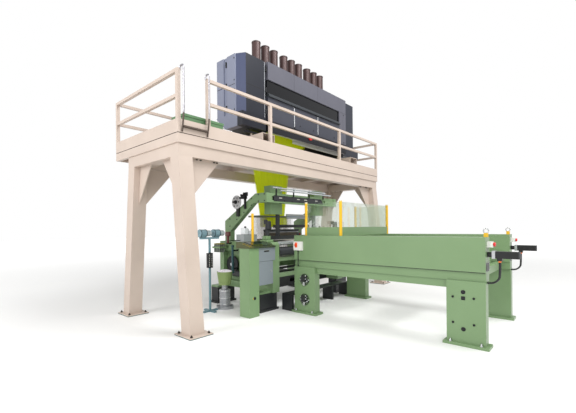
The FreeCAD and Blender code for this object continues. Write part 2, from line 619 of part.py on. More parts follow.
def roller(y, z, radius):
    """A roller between the side frames, its journals a hair short of their faces."""
    tip = "frame_in - roller_end_gap"
    return fuse(rod("x", ("-1 * (%s)" % tip, y, z), tip, "shaft_radius"),
                rod("x", ("-frame_in + 50", y, z), "frame_in - 50", radius))


node("cloth_roller", roller("cloth_y", "cloth_z", "cloth_radius"))
node("back_roller", roller("back_y", "warp_z - back_radius", "back_radius"))

swords = [block((x + " - sword_wide / 2", x + " + sword_wide / 2"),
                ("sley_y - 20", "sley_y + 20"), ("sley_z", "warp_z - 60"))
          for x in ("-sword_x", "sword_x")]
tip = "frame_in - roller_end_gap"
sley = fuse(rod("x", ("-1 * (%s)" % tip, "sley_y", "sley_z"), tip, "shaft_radius"), *swords,
            block(("-reed_x", "reed_x"), ("sley_y - sley_beam / 2", "sley_y + sley_beam / 2"),
                  ("warp_z - 110", "warp_z - 50")),
            block(("-reed_x", "reed_x"), ("sley_y - reed_thick / 2", "sley_y + reed_thick / 2"),
                  ("warp_z - 50", "reed_high")),
            block(("-reed_x", "reed_x"), ("sley_y - 20", "sley_y + 20"),
                  ("reed_high", "reed_high + 40")))
node("sley_with_reed", sley)

cells(cloth_front=-900, cloth_fell=-200, warp_front=10, warp_back=690, warp_half=600)
sheet_z = ("warp_z + soft_gap", "warp_z + soft_gap + warp_thick")
node("warp_and_cloth", group(block(("-warp_half", "warp_half"), ("cloth_front", "cloth_fell"),
                                   sheet_z),
                             block(("-warp_half", "warp_half"), ("warp_front", "warp_back"),
                                   sheet_z)))

cells(carrier_y=-180, carrier_z=1435, carrier_wide=24, carrier_tall=14, carrier_tip=700,
      carrier_long=1150, house_x0=1110, house_x1=1500, house_y0=-300, house_y1=-60,
      house_top=1560, slide_gap=0.3)
house = block(("house_x0", "house_x1"), ("house_y0", "house_y1"), ("frame_top", "house_top"))
passage = block(("house_x0 - 1", "house_x1 + 1"),
                ("carrier_y - carrier_wide / 2 - slide_gap", "carrier_y + carrier_wide / 2 + slide_gap"),
                ("carrier_z - carrier_tall / 2 - slide_gap",
                 "carrier_z + carrier_tall / 2 + slide_gap"))
housing = cut(house, passage)
node("carrier_housings", group(housing, mirrored(housing)))
carrier = fuse(block(("carrier_tip + 60", "carrier_tip + carrier_long"),
                     ("carrier_y - carrier_wide / 2", "carrier_y + carrier_wide / 2"),
                     ("carrier_z - carrier_tall / 2", "carrier_z + carrier_tall / 2")),
               block(("carrier_tip", "carrier_tip + 90"),
                     ("carrier_y - 22", "carrier_y + 22"), ("carrier_z - 12", "carrier_z + 16")))
node("weft_carrier_right", carrier)
node("weft_carrier_left", mirrored(carrier))

cells(drive_in=120, drive_long=620, drive_y0=-600, drive_y1=-260, drive_tall=290,
      plinth_tall=80, drive_motor=130, drive_motor_long=420)
drive_y = ("drive_y0", "drive_y1")
drive_low = "frame_low + plinth_tall"
plinth = block(span, drive_y, ("frame_low", drive_low))
drive_x1 = "(drive_in + drive_long - frame_in)"
gearbox = block(("drive_in - frame_in", drive_x1), drive_y,
                (drive_low, drive_low + " + drive_tall"))
drive_motor = rod("x", (drive_x1, "(drive_y0 + drive_y1) / 2", drive_low + " + drive_motor"),
                  drive_x1 + " + drive_motor_long", "drive_motor")
node("main_drive", group(plinth, gearbox, drive_motor))

cells(step_y_front=-1300, step_y_back=-1030, tread_z=320, tread_thick=20, trestle=60)
trestle_y = ("step_y_front", "step_y_back")
trestles = [block((x, x + " + trestle"), trestle_y, ("0", "tread_z"))
            for x in ("-frame_in", "-400", "340", "frame_in - trestle")]
node("front_step", group(*trestles, block(("-frame_in", "frame_in"), trestle_y,
                                          ("tread_z", "tread_z + tread_thick"))))

# ---- Take-off bench: two long beams on drilled legs, with the clamp carriage between ----
cells(bench_out=1070, bench_in=820, bench_start=-1350, box_low=1050, box_top=1540, box_wall=15,
      flange_out=1040, flange_in=850, flange_low=920, lower_rail=800, bench_leg_out=1070,
      bench_leg_in=915, bench_leg_deep=510, base_lip=45, base_thick=40, bench_hole=11,
      bench_anchor_y=400, lip_hole=22)
far = "-bench_end"


def hollow(x, y, z):
    """A closed box-section beam along Y, open at neither end."""
    inner = [("%s + box_wall" % low, "%s - box_wall" % high) for low, high in (x, y, z)]
    return cut(block(x, y, z), block(*inner))


beam_box = hollow(("bench_in", "bench_out"), (far, "bench_start"), ("box_low", "box_top"))
flange_box = hollow(("flange_in", "flange_out"), (far, "bench_start"), ("flange_low", "box_low"))
inner_rail = block(("flange_in", "bench_leg_out - 60"),
                   (far + " + bench_leg_deep", "bench_start - bench_leg_deep"),
                   ("lower_rail", "flange_low"))
cells(way_z0=1180, way_z1=1230, way_out=770)
way = block(("way_out", "bench_in"), (far + " + 100", "bench_start - 300"), ("way_z0", "way_z1"))
bench_beam = [beam_box, flange_box, inner_rail, way]


def bench_leg(low, high):
    """A box leg on a base plate with two anchor holes in the lip at each end."""
    x = ("bench_leg_in", "bench_leg_out")
    leg_part = hollow(x, (low, high), ("base_thick", "flange_low"))
    y = (low + " - base_lip", high + " + base_lip")
    base = block((x[0] + " - base_lip", x[1] + " + base_lip"), y, ("0", "base_thick"))
    holes = [rod("z", (at_x, at_y, "-1"), "base_thick + 1", "bench_hole")
             for at_x in (x[0] + " - lip_hole", x[1] + " + lip_hole")
             for at_y in ("(%s + %s - bench_anchor_y) / 2" % (low, high),
                          "(%s + %s + bench_anchor_y) / 2" % (low, high))]
    return [leg_part, cut(base, fuse(*holes))]


bench_legs = bench_leg(far, far + " + bench_leg_deep")
bench_legs += bench_leg("bench_start - bench_leg_deep", "bench_start")
node("bench_legs", group(*bench_legs, *[mirrored(piece) for piece in bench_legs]))
cells(tie_y0=-4640, tie_y1=-4560, tie_z0=930)
tie = block(("-flange_in", "flange_in"), ("tie_y0", "tie_y1"), ("tie_z0", "box_low"))
node("bench_beams", group(*bench_beam, *[mirrored(piece) for piece in bench_beam], tie))

cells(car_y0=-3500, car_y1=-3280, car_z1=1390, car_gap=1, jaw_z=1440)
car_x = ("-bench_in + car_gap", "bench_in - car_gap")
node("clamp_carriage", fuse(block(car_x, ("car_y0", "car_y1"), ("way_z1 + slide_gap", "car_z1")),
                            block(("-warp_half", "warp_half"), ("car_y1 - 90", "car_y1 - 30"),
                                  ("car_z1", "jaw_z"))))

cells(motor_x=950, motor_z=1300, neck_radius=36, motor_square=95,
      flange_lip=5, plug_wide=74, plug_tall=34, plug_in=200, plug_long=60)
square = ("motor_x - motor_square / 2", "motor_x + motor_square / 2")
square_z = ("motor_z - motor_square / 2", "motor_z + motor_square / 2")
neck_end = far + " - motor_neck"
flange_end = neck_end + " - motor_flange"
motor_end = flange_end + " - motor_long"
motor_neck_part = rod("y", ("motor_x", neck_end, "motor_z"), far, "neck_radius")
motor_flange_part = block((square[0] + " - flange_lip", square[1] + " + flange_lip"),
                          (flange_end, neck_end),
                          (square_z[0] + " - flange_lip", square_z[1] + " + flange_lip"))
motor_body = block(square, (motor_end, flange_end), square_z)
plug = block(("motor_x - plug_wide / 2", "motor_x + plug_wide / 2"),
             (motor_end + " + plug_in", motor_end + " + plug_in + plug_long"),
             (square_z[0] + " - plug_tall", square_z[0]))
motor = fuse(motor_neck_part, motor_flange_part, motor_body, plug)
node("servo_motors", group(motor, mirrored(motor)))

cells(stop_box_x0=900, stop_box_x1=980, stop_box_z0=1400, stop_box_z1=1480, stop_box_deep=70)
stop_face = far + " - stop_box_deep"
bench_stop = ("(stop_box_x0 + stop_box_x1) / 2", stop_face, "(stop_box_z0 + stop_box_z1) / 2")
stop_box = cut(block(("stop_box_x0", "stop_box_x1"), (stop_face, far),
                     ("stop_box_z0", "stop_box_z1")), stop_bore(*bench_stop))
bench_button = stop_button(*bench_stop, "stop_radius")
node("bench_stop_right", bench_button)
node("bench_stop_left", mirrored(bench_button))

cells(post_radius=28, post_top=2200, post_x=960, post_y1=-1580, post_y2=-2390, screen_thick=12,
      screen_low=1700, screen_top=2170, kick_thick=30, eye_wide=50, eye_tall=55, ring_radius=32,
      ring_wire=7, eye_in=30)
posts = [rod("z", ("%d * post_x" % i, y, "box_top"), "post_top", "post_radius")
         for i in (-1, 1) for y in ("post_y1", "post_y2")]
across = ("-post_x + post_radius", "post_x - post_radius")
along = ("post_y2 + post_radius", "post_y1 - post_radius")
kick = [block(across, ("post_y2 - kick_thick / 2", "post_y2 + kick_thick / 2"),
              ("box_top", "screen_low"))]
kick += [block(("%d * post_x - kick_thick / 2" % i, "%d * post_x + kick_thick / 2" % i), along,
               ("box_top", "screen_low")) for i in (-1, 1)]
node("guard_kick_panels", group(*kick))
panes = [block(across, ("post_y2 - screen_thick / 2", "post_y2 + screen_thick / 2"),
               ("screen_low", "screen_top"))]
panes += [block(("%d * post_x - screen_thick / 2" % i, "%d * post_x + screen_thick / 2" % i),
                along, ("screen_low", "screen_top")) for i in (-1, 1)]
node("guard_screens", group(*panes))

eye_x = ("bench_in + eye_in", "bench_in + eye_in + eye_wide")
eye_y = (far + " + 5", far + " + 5 + eye_wide")
eye_block = block(eye_x, eye_y, ("box_top", "box_top + eye_tall"))
ring = doc.addObject("Part::Torus", "Ring")
bind(ring, "Radius1", "ring_radius")
bind(ring, "Radius2", "ring_wire")
ring.Placement = FreeCAD.Placement(FreeCAD.Vector(), TURNS["x"])
place(ring, "bench_in + eye_in + eye_wide / 2", far + " + 5 + eye_wide / 2",
      "box_top + eye_tall + ring_radius")
eye = fuse(eye_block, ring)

cells(switch_out=50, switch_y0=-1580, switch_y1=-1370, switch_z0=1245, switch_z1=1420,
      knob_y=-1440, knob_z=1350, knob_radius=26, knob_thick=22, knob_pin=8, knob_depth=20)
switch_face = "-bench_out - switch_out"
knob_bore = rod("x", (switch_face + " - 1", "knob_y", "knob_z"), switch_face + " + knob_depth + 1",
                "knob_pin + run_gap")
switch_box = cut(block((switch_face, "-bench_out"), ("switch_y0", "switch_y1"),
                       ("switch_z0", "switch_z1")), knob_bore)
node("switch_boxes", group(switch_box, stop_box, mirrored(stop_box)))
knob_face = switch_face + " - 1"
grip = block((knob_face + " - knob_thick * 1.6", knob_face + " - knob_thick"),
             ("knob_y - knob_radius + 3", "knob_y + knob_radius - 3"), ("knob_z - 6", "knob_z + 6"))
node("switch_knob", fuse(rod("x", (knob_face + " - knob_thick", "knob_y", "knob_z"), knob_face,
                             "knob_radius"), grip,
                         rod("x", (knob_face, "knob_y", "knob_z"), switch_face + " + knob_depth",
                             "knob_pin")))

cells(valve_y=-1615, valve_low=300, valve_high=690, valve_wide=90, valve_tall=120, valve_out=60)
valves = []
for z in ("valve_low", "valve_high"):
    manifold = block(("-bench_leg_out - valve_out", "-bench_leg_out"),
                     ("valve_y - valve_wide / 2", "valve_y + valve_wide / 2"),
                     (z + " - valve_tall / 2", z + " + valve_tall / 2"))
    filter_cup = rod("z", ("-bench_leg_out - valve_out / 2", "valve_y",
                           z + " - valve_tall / 2 - 70"), z + " - valve_tall / 2", "24")
    valves.append(fuse(manifold, filter_cup))
node("air_valves", group(*valves))

# ---- Operator console beside the loom's near front foot ----
cells(con_x0=-2030, con_x1=-1780, con_y0=-1060, con_y1=-780, con_top=1310, cab_x1=-1390,
      cab_front=-1035, cab_low=580, shelf_z=1040, top_y0=-1085, top_back=-700, top_rise=120,
      con_door_thick=22, door_clear=0.3, drawer_x1=-1325, desk_x1=-1330)
console_post = hollow(("con_x0", "con_x1"), ("con_y0", "con_y1"), ("0", "con_top"))
desk_slope = [("top_y0", "con_top"), ("top_back", "con_top"), ("top_back", "con_top + top_rise"),
              ("top_y0", "con_top + 25")]
slope_run = "(top_back - top_y0)"
desk = prism("YZ", desk_slope, "con_x0 - 15", "desk_x1")
cells(key_radius=18, key_count=3, key_first=-1010, key_pitch=80, key_x=-1975, key_low=30,
      key_out=12, key_travel=4)


def desk_height(y):
    """The desk's slanting surface at a place along Y."""
    return "con_top + 25 + (top_rise - 25) * (%s - top_y0) / %s" % (y, slope_run)


keys = []
for i in range(int(sheet_size("key_count"))):
    y = "key_first + %d * key_pitch" % i
    floor_at = desk_height(y) + " - key_low"
    keys.append(rod("z", ("key_x", y, floor_at + " + key_travel + 1"), desk_height(y)
                    + " + key_out", "key_radius"))
    desk = cut(desk, rod("z", ("key_x", y, floor_at), desk_height(y) + " + key_out",
                         "key_radius + run_gap"))
node("console_desk", desk)
for i, key in enumerate(keys):
    node("console_key_%d" % (i + 1), key)

room_x = ("con_x1 + 12", "cab_x1 - 12")
room_y = ("cab_front - 1", "con_y1 - 12")
cabinet_shell = cut(block(("con_x1", "cab_x1"), ("cab_front", "con_y1"), ("cab_low", "con_top")),
                    fuse(block(room_x, room_y, ("cab_low + 12", "shelf_z - 6")),
                         block(room_x, room_y, ("shelf_z + 6", "con_top - 12"))))
node("console_body", group(console_post, cabinet_shell))
door_y = ("cab_front - door_clear - con_door_thick", "cab_front - door_clear")
node("console_door", block(("con_x1 + 4", "cab_x1 - 2"), door_y, ("cab_low + 2", "shelf_z - 2")))
cells(tray_wall=4, tray_gap=3, tray_deep=200, tray_tall=150, tray_lift=0.3)
tray_x = ("con_x1 + 12 + tray_gap", "cab_x1 - 12 - tray_gap")
tray_y = ("cab_front - door_clear - con_door_thick", "cab_front + tray_deep")
tray_z = ("shelf_z + 6 + tray_lift", "shelf_z + 6 + tray_lift + tray_tall")
tray = cut(block(tray_x, tray_y, tray_z),
           block((tray_x[0] + " + tray_wall", tray_x[1] + " - tray_wall"),
                 ("cab_front - door_clear", tray_y[1] + " - tray_wall"),
                 (tray_z[0] + " + tray_wall", tray_z[1] + " + 1")))
node("console_drawer", fuse(tray, block(("con_x1 + 4", "drawer_x1"), door_y,
                                        ("shelf_z + 4", "con_top - 3"))))
cells(lamp_radius=26, lamp_x=-1650, lamp_y=-745, lamp_top=1990)
lamp_foot = desk_height("lamp_y")
desk_lamp = rod("z", ("lamp_x", "lamp_y", lamp_foot + " + 7"), "lamp_top", "lamp_radius")
node("posts_and_eyes", group(*posts, eye, mirrored(eye), desk_lamp))

# ---- Weft side: feeder stand, two feeders and the waste vacuum with its bin ----
cells(stand_x=-2160, stand_y=0, stand_radius=24, stand_top=1480, bar_half=230, bar_thick=40,
      tripod_long=180, tripod_thick=30, box_wide=110, box_deep=70, box_aside=35, box_in=16,
      elec_z0=900, elec_z1=1200, feeder_radius=78, feeder_long=150, feeder_a=-2330,
      feeder_b=-2000, drum_radius=58, drum_long=110, feeder_z=1600)
stand_parts = [rod("z", ("stand_x", "stand_y", "tripod_thick"), "stand_top", "stand_radius"),
               block(("stand_x - tripod_long", "stand_x + tripod_long"),
                     ("stand_y - tripod_thick", "stand_y + tripod_thick"), ("0", "tripod_thick")),
               block(("stand_x - tripod_thick", "stand_x + tripod_thick"),
                     ("stand_y - tripod_long", "stand_y + tripod_long"), ("0", "tripod_thick")),
               block(("stand_x - bar_half", "stand_x + bar_half"),
                     ("stand_y - bar_thick / 2", "stand_y + bar_thick / 2"),
                     ("stand_top", "feeder_z - feeder_radius"))]
power_box = block(("stand_x - box_aside - box_wide / 2", "stand_x - box_aside + box_wide / 2"),
                  ("stand_y - box_in - box_deep", "stand_y - box_in"), ("elec_z0", "elec_z1"))
feeders = []
for x in ("feeder_a", "feeder_b"):
    feeders.append(fuse(rod("x", (x + " - feeder_long / 2", "stand_y", "feeder_z"),
                            x + " + feeder_long / 2", "feeder_radius"),
                        rod("x", (x + " + feeder_long / 2", "stand_y", "feeder_z"),
                            x + " + feeder_long / 2 + drum_long", "drum_radius")))
node("weft_feeders", group(fuse(*stand_parts, power_box), *feeders))

cells(vac_x=-1780, vac_y=0, vac_base_radius=180, vac_base=55, vac_radius=112, vac_top=400,
      neck_top=500, vac_neck=62, bin_low=125, bin_high=165, bin_top=780, bin_wall=6)
vacuum = fuse(rod("z", ("vac_x", "vac_y", "0"), "vac_base", "vac_base_radius"),
              rod("z", ("vac_x", "vac_y", "vac_base"), "vac_top", "vac_radius"),
              rod("z", ("vac_x", "vac_y", "vac_top"), "neck_top", "vac_neck"))
bin_shell = cut(cone(("vac_x", "vac_y", "neck_top"), "bin_top", "bin_low", "bin_high"),
                cone(("vac_x", "vac_y", "neck_top + bin_wall"), "bin_top + 1",
                     "bin_low - bin_wall", "bin_high - bin_wall"))
node("waste_vacuum", group(vacuum, bin_shell))

# ---- Motor hoses: two leave each motor's plug and bend back into the beam's end leg ----
cells(hose_radius=13, hose_apart=34)
HOSE_ROUTE = [(-4920, 1218), (-4920, 1005), (-4901, 959), (-4866, 924), (-4820, 905),
              (-4770, 905)]
for side, side_x in (("left", -1), ("right", 1)):
    for lane, lane_x in (("inner", -1), ("outer", 1)):
        x = side_x * (sheet_size("motor_x") + lane_x * sheet_size("hose_apart") / 2)
        route = [(x, y, z) for y, z in HOSE_ROUTE]
        node("motor_hose_%s_%s" % (side, lane), coded(bent_tube(route, sheet_size("hose_radius"))))

# ---- Check and write ----
doc.recompute()
for thing in doc.Objects:
    if "Invalid" in thing.State or "Error" in thing.State:
        raise RuntimeError("%s (%s) failed: %s" % (thing.Name, thing.Label, thing.State))
for thing in nodes:
    if thing.Shape.isNull() or not thing.Shape.isValid() or not thing.Shape.Solids:
        raise RuntimeError("%s has no sound solid" % thing.Label)
os.makedirs("parts", exist_ok=True)
for thing in nodes:
    thing.Shape.exportStep("parts/%s.step" % thing.Label)
print(len(nodes), "nodes written")
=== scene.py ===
import math
import bpy
import numpy as np
from mathutils import Matrix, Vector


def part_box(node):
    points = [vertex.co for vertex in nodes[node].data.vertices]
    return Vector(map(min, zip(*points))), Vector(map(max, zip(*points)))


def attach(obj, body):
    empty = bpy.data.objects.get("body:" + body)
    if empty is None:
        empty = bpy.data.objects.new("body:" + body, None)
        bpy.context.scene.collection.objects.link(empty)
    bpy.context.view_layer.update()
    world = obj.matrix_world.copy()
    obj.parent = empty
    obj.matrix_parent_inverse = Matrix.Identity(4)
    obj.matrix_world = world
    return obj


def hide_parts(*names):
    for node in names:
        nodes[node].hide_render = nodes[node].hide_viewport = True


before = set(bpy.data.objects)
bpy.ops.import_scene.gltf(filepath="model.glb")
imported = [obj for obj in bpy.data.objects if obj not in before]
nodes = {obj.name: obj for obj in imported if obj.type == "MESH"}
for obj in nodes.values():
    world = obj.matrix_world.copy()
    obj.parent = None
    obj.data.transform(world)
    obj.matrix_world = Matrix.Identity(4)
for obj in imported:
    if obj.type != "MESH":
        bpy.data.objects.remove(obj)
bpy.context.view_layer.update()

# ---- Floor, lamps and camera ----
# A pale studio floor that fades to white far off, under broad soft lamps, seen by a person who
# stands at the operator's side of the take-off bench, a little way before its near end.
floor_mesh = bpy.data.meshes.new("studio_floor")
floor_half = 60
floor_corners = [(floor_half * x, floor_half * y, 0) for x, y in ((-1, -1), (1, -1), (1, 1), (-1, 1))]
floor_mesh.from_pydata(floor_corners, [], [(0, 1, 2, 3)])
studio_floor = bpy.data.objects.new("studio_floor", floor_mesh)
bpy.context.scene.collection.objects.link(studio_floor)
floor_finish = bpy.data.materials.new("pale_floor")
floor_finish.use_nodes = True
floor_shader = floor_finish.node_tree.nodes["Principled BSDF"]
floor_shader.inputs["Base Color"].default_value = (0.86, 0.86, 0.85, 1)
floor_shader.inputs["Roughness"].default_value = 0.55
floor_shader.inputs["Emission Color"].default_value = (1.0, 1.0, 1.0, 1)
floor_tree = floor_finish.node_tree
floor_place = floor_tree.nodes.new("ShaderNodeTexCoord")
floor_reach = floor_tree.nodes.new("ShaderNodeVectorMath")
floor_reach.operation = "LENGTH"
far_glow = floor_tree.nodes.new("ShaderNodeMapRange")
for key, value in (("From Min", 6.0), ("From Max", 22.0), ("To Max", 0.55)):
    far_glow.inputs[key].default_value = value
floor_tree.links.new(floor_place.outputs["Object"], floor_reach.inputs[0])
floor_tree.links.new(floor_reach.outputs["Value"], far_glow.inputs["Value"])
floor_tree.links.new(far_glow.outputs["Result"], floor_shader.inputs["Emission Strength"])
floor_mesh.materials.append(floor_finish)

room_light = bpy.data.worlds.new("soft_room")
bpy.context.scene.world = room_light
room_light.use_nodes = True
room_shader = room_light.node_tree.nodes["Background"]
room_shader.inputs["Color"].default_value = (1.0, 1.0, 1.0, 1)
seen = room_light.node_tree.nodes.new("ShaderNodeLightPath")
glow = room_light.node_tree.nodes.new("ShaderNodeMapRange")
glow.inputs["To Min"].default_value = 0.66
glow.inputs["To Max"].default_value = 1.0
room_light.node_tree.links.new(seen.outputs["Is Camera Ray"], glow.inputs["Value"])
room_light.node_tree.links.new(glow.outputs["Result"], room_shader.inputs["Strength"])


def soft_lamp(name, place, aim, width, power):
    """A square area lamp of that width at place, turned so that it shines towards aim."""
    lamp = bpy.data.lights.new(name, "AREA")
    lamp.size = width
    lamp.energy = power
    holder = bpy.data.objects.new(name, lamp)
    ahead, aside, up = np.array(aim, float) - np.array(place, float)
    holder.location = place
    tilt, turn = math.atan2(math.hypot(ahead, aside), -up), math.atan2(ahead, -aside) + math.pi
    holder.rotation_euler = (tilt, 0, turn)
    bpy.context.scene.collection.objects.link(holder)


soft_lamp("key_lamp", (-9, -9, 9), (0, 0, 2), 6, 700)
soft_lamp("left_lamp", (-13, 4, 6), (0, 1.5, 2.5), 5, 600)
soft_lamp("top_lamp", (0.5, -4.5, 11), (0, -1, 0), 5, 900)

eye_place = (-6.33, -3.965, 1.7)
heading, roll = -48.56, -0.56
camera_data = bpy.data.cameras.new("view")
camera_data.sensor_width = 36
camera_data.lens = 21.30625
camera_data.shift_y = 0.036632
camera_data.clip_end = 200
camera = bpy.data.objects.new("view", camera_data)
upright = Matrix.Rotation(math.radians(heading), 4, "Z") @ Matrix.Rotation(math.pi / 2, 4, "X")
camera.matrix_world = (Matrix.Translation(eye_place) @ upright
                       @ Matrix.Rotation(math.radians(roll), 4, "Z"))
bpy.context.scene.collection.objects.link(camera)
bpy.context.scene.camera = camera
bpy.context.scene.view_settings.view_transform = "Standard"

# ---- Motor hoses ----
# Each drive motor at the bench's end has two black corrugated hoses over its leads. They drop
# from the motor's plug, turn back under the beam and go into the end leg.


def tone(red, green, blue):
    """A screen colour of 0 to 255 a channel as the linear colour that a shader takes."""
    share = np.array([red, green, blue]) / 255
    return (*np.where(share > 0.04045, ((share + 0.055) / 1.055) ** 2.4, share / 12.92), 1.0)


def new_finish(name):
    """A material with its Principled shader, and a function that adds a node with its inputs."""
    material = bpy.data.materials.new(name)
    material.use_nodes = True
    tree = material.node_tree
    shader = tree.nodes["Principled BSDF"]

    def add(kind, inputs=None, **settings):
        made = tree.nodes.new(kind)
        for key, value in settings.items():
            setattr(made, key, value)
        for key, value in (inputs or {}).items():
            if isinstance(value, bpy.types.NodeSocket):
                tree.links.new(value, made.inputs[key])
            else:
                made.inputs[key].default_value = value
        return made

    def wire(source, key):
        tree.links.new(source, shader.inputs[key])

    return material, shader, add, wire


def ribbed(name, colour, pitch):
    """Corrugated plastic with rings at that pitch in height, slightly dusty."""
    material, shader, add, wire = new_finish(name)
    shader.inputs["Roughness"].default_value = 0.5
    place = add("ShaderNodeTexCoord")
    apart = add("ShaderNodeSeparateXYZ", {"Vector": place.outputs["Object"]})
    turn = add("ShaderNodeMath", {0: apart.outputs["Z"], 1: 2 * math.pi / pitch}, operation="MULTIPLY")
    ring = add("ShaderNodeMath", {0: turn.outputs[0]}, operation="SINE")
    dust = add("ShaderNodeTexNoise", {"Vector": place.outputs["Object"], "Scale": 9.0, "Detail": 4.0})
    shade = add("ShaderNodeMix", {"Factor": dust.outputs["Fac"], "A": tone(*colour),
                                  "B": tone(*(c + 22 for c in colour))}, data_type="RGBA")
    wire(shade.outputs["Result"], "Base Color")
    bump = add("ShaderNodeBump", {"Height": ring.outputs[0], "Distance": 0.002, "Strength": 0.7})
    wire(bump.outputs["Normal"], "Normal")
    return material


hose_black = ribbed("corrugated_hose_black", (24, 24, 26), 0.006)
hose_runs = [(-3.055, 1.218), (-3.055, 1.005), (-3.036, 0.959), (-3.001, 0.924), (-2.955, 0.905),
             (-2.905, 0.905)]
hose_thick = 0.026
hose_places = {"left_inner": -0.933, "left_outer": -0.967, "right_inner": 0.933, "right_outer": 0.967}
for side, hose_x in hose_places.items():
    line = bpy.data.curves.new(f"hose_{side}", "CURVE")
    line.dimensions = "3D"
    spline = line.splines.new("NURBS")
    spline.points.add(len(hose_runs) - 1)
    spline.points.foreach_set("co", np.array([(hose_x, y, z, 1) for y, z in hose_runs]).ravel())
    spline.order_u = 3
    spline.use_endpoint_u = True
    line.bevel_depth = hose_thick / 2
    line.bevel_resolution = 4
    line.use_fill_caps = True
    hose = bpy.data.objects.new(f"hose_{side}", line)
    bpy.context.scene.collection.objects.link(hose)
    line.materials.append(hose_black)
    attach(hose, "frame")
    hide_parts(f"motor_hose_{side}")

# ---- Gantry ----
# Two welded portals of steel box section carry long beams, a plated deck and edge boards. All
# of it is shot-blasted and sprayed in one beige enamel; the feet are bolted to the floor.


def painted(name, colour, rough=0.42, drift=9, peel=0.0004, metal=0.0, zones=()):
    """Sprayed enamel whose tone drifts by drift over about a metre, with dust and orange peel.
    Each zone is a box low, high with its own colour, roughness and metal share."""
    material, shader, add, wire = new_finish(name)
    place = add("ShaderNodeTexCoord")
    cloud = add("ShaderNodeTexNoise", {"Vector": place.outputs["Object"], "Scale": 1.7, "Detail": 6.0})
    shade = add("ShaderNodeMix", {"Factor": cloud.outputs["Fac"], "A": tone(*(c - drift for c in colour)),
                                  "B": tone(*(c + drift for c in colour))}, data_type="RGBA")
    specks = add("ShaderNodeTexNoise", {"Vector": place.outputs["Object"], "Scale": 45.0, "Detail": 3.0})
    sheen = add("ShaderNodeMapRange", {"Value": specks.outputs["Fac"], "To Min": rough - 0.07,
                                       "To Max": rough + 0.07})
    skin, gloss, steel = shade.outputs["Result"], sheen.outputs["Result"], metal
    shader.inputs["Metallic"].default_value = metal
    for low, high, spot, spot_rough, spot_metal in zones:
        low, high = np.array(low, float), np.array(high, float)
        apart = add("ShaderNodeVectorMath", {0: place.outputs["Object"], 1: tuple((low + high) / 2)},
                    operation="SUBTRACT")
        share = add("ShaderNodeVectorMath", {0: apart.outputs[0], 1: tuple((high - low) / 2)},
                    operation="DIVIDE")
        size = add("ShaderNodeVectorMath", {0: share.outputs[0]}, operation="ABSOLUTE")
        axes = add("ShaderNodeSeparateXYZ", {"Vector": size.outputs[0]})
        widest = add("ShaderNodeMath", {0: axes.outputs[0], 1: axes.outputs[1]}, operation="MAXIMUM")
        widest = add("ShaderNodeMath", {0: widest.outputs[0], 1: axes.outputs[2]}, operation="MAXIMUM")
        inside = add("ShaderNodeMath", {0: widest.outputs[0], 1: 1.0}, operation="LESS_THAN").outputs[0]
        skin = add("ShaderNodeMix", {"Factor": inside, "A": skin, "B": tone(*spot)},
                   data_type="RGBA").outputs["Result"]
        gloss = add("ShaderNodeMix", {"Factor": inside, "A": gloss, "B": spot_rough}).outputs["Result"]
        steel = add("ShaderNodeMix", {"Factor": inside, "A": steel, "B": spot_metal}).outputs["Result"]
    wire(skin, "Base Color")
    wire(gloss, "Roughness")
    if zones:
        wire(steel, "Metallic")
    grain = add("ShaderNodeTexNoise", {"Vector": place.outputs["Object"], "Scale": 380.0, "Detail": 2.0})
    bump = add("ShaderNodeBump", {"Height": grain.outputs["Fac"], "Distance": peel, "Strength": 0.35})
    wire(bump.outputs["Normal"], "Normal")
    return material


def coat(finish, *names):
    """Gives CAD nodes a finish in place of their plain one."""
    for name in names:
        for held in nodes[name].material_slots:
            held.material = finish


def fitted(name, points, faces, finish, body, smooth):
    """Puts a mesh of these faces in the scene as a piece that rides on body. It is shaded smooth but
    for edges sharper than smooth degrees."""
    mesh = bpy.data.meshes.new(name)
    mesh.from_pydata(points, [], faces)
    mesh.shade_smooth()
    mesh.set_sharp_from_angle(angle=math.radians(smooth))
    mesh.materials.append(finish)
    made = bpy.data.objects.new(name, mesh)
    bpy.context.scene.collection.objects.link(made)
    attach(made, body)
    return made


def lofts(name, rings, finish, body="frame"):
    """One mesh of closed pieces. rings has the shape (pieces, rings, around, 3): quads join each
    ring to the next and a flat face closes each end. A piece that comes out inside out is turned."""
    rings = np.asarray(rings, float)
    pieces, levels, around, _ = rings.shape
    spots = np.arange(pieces * levels * around).reshape(pieces, levels, around)
    low, high = spots[:, :-1], spots[:, 1:]
    sides = np.stack([low, np.roll(low, -1, 2), np.roll(high, -1, 2), high], -1).reshape(pieces, -1, 4)
    middle = rings.mean((1, 2))
    corner = [rings.reshape(-1, 3)[sides[..., i]] - middle[:, None] for i in range(4)]
    swept = (np.cross(corner[2] - corner[0], corner[3] - corner[1]) * sum(corner)).sum((1, 2))
    faces = []
    for piece, inward in enumerate(swept < 0):
        ends = [spots[piece, 0, ::-1].tolist(), spots[piece, -1].tolist()]
        made = sides[piece].tolist() + ends
        faces += [face[::-1] for face in made] if inward else made
    return fitted(name, rings.reshape(-1, 3), faces, finish, body, 35)


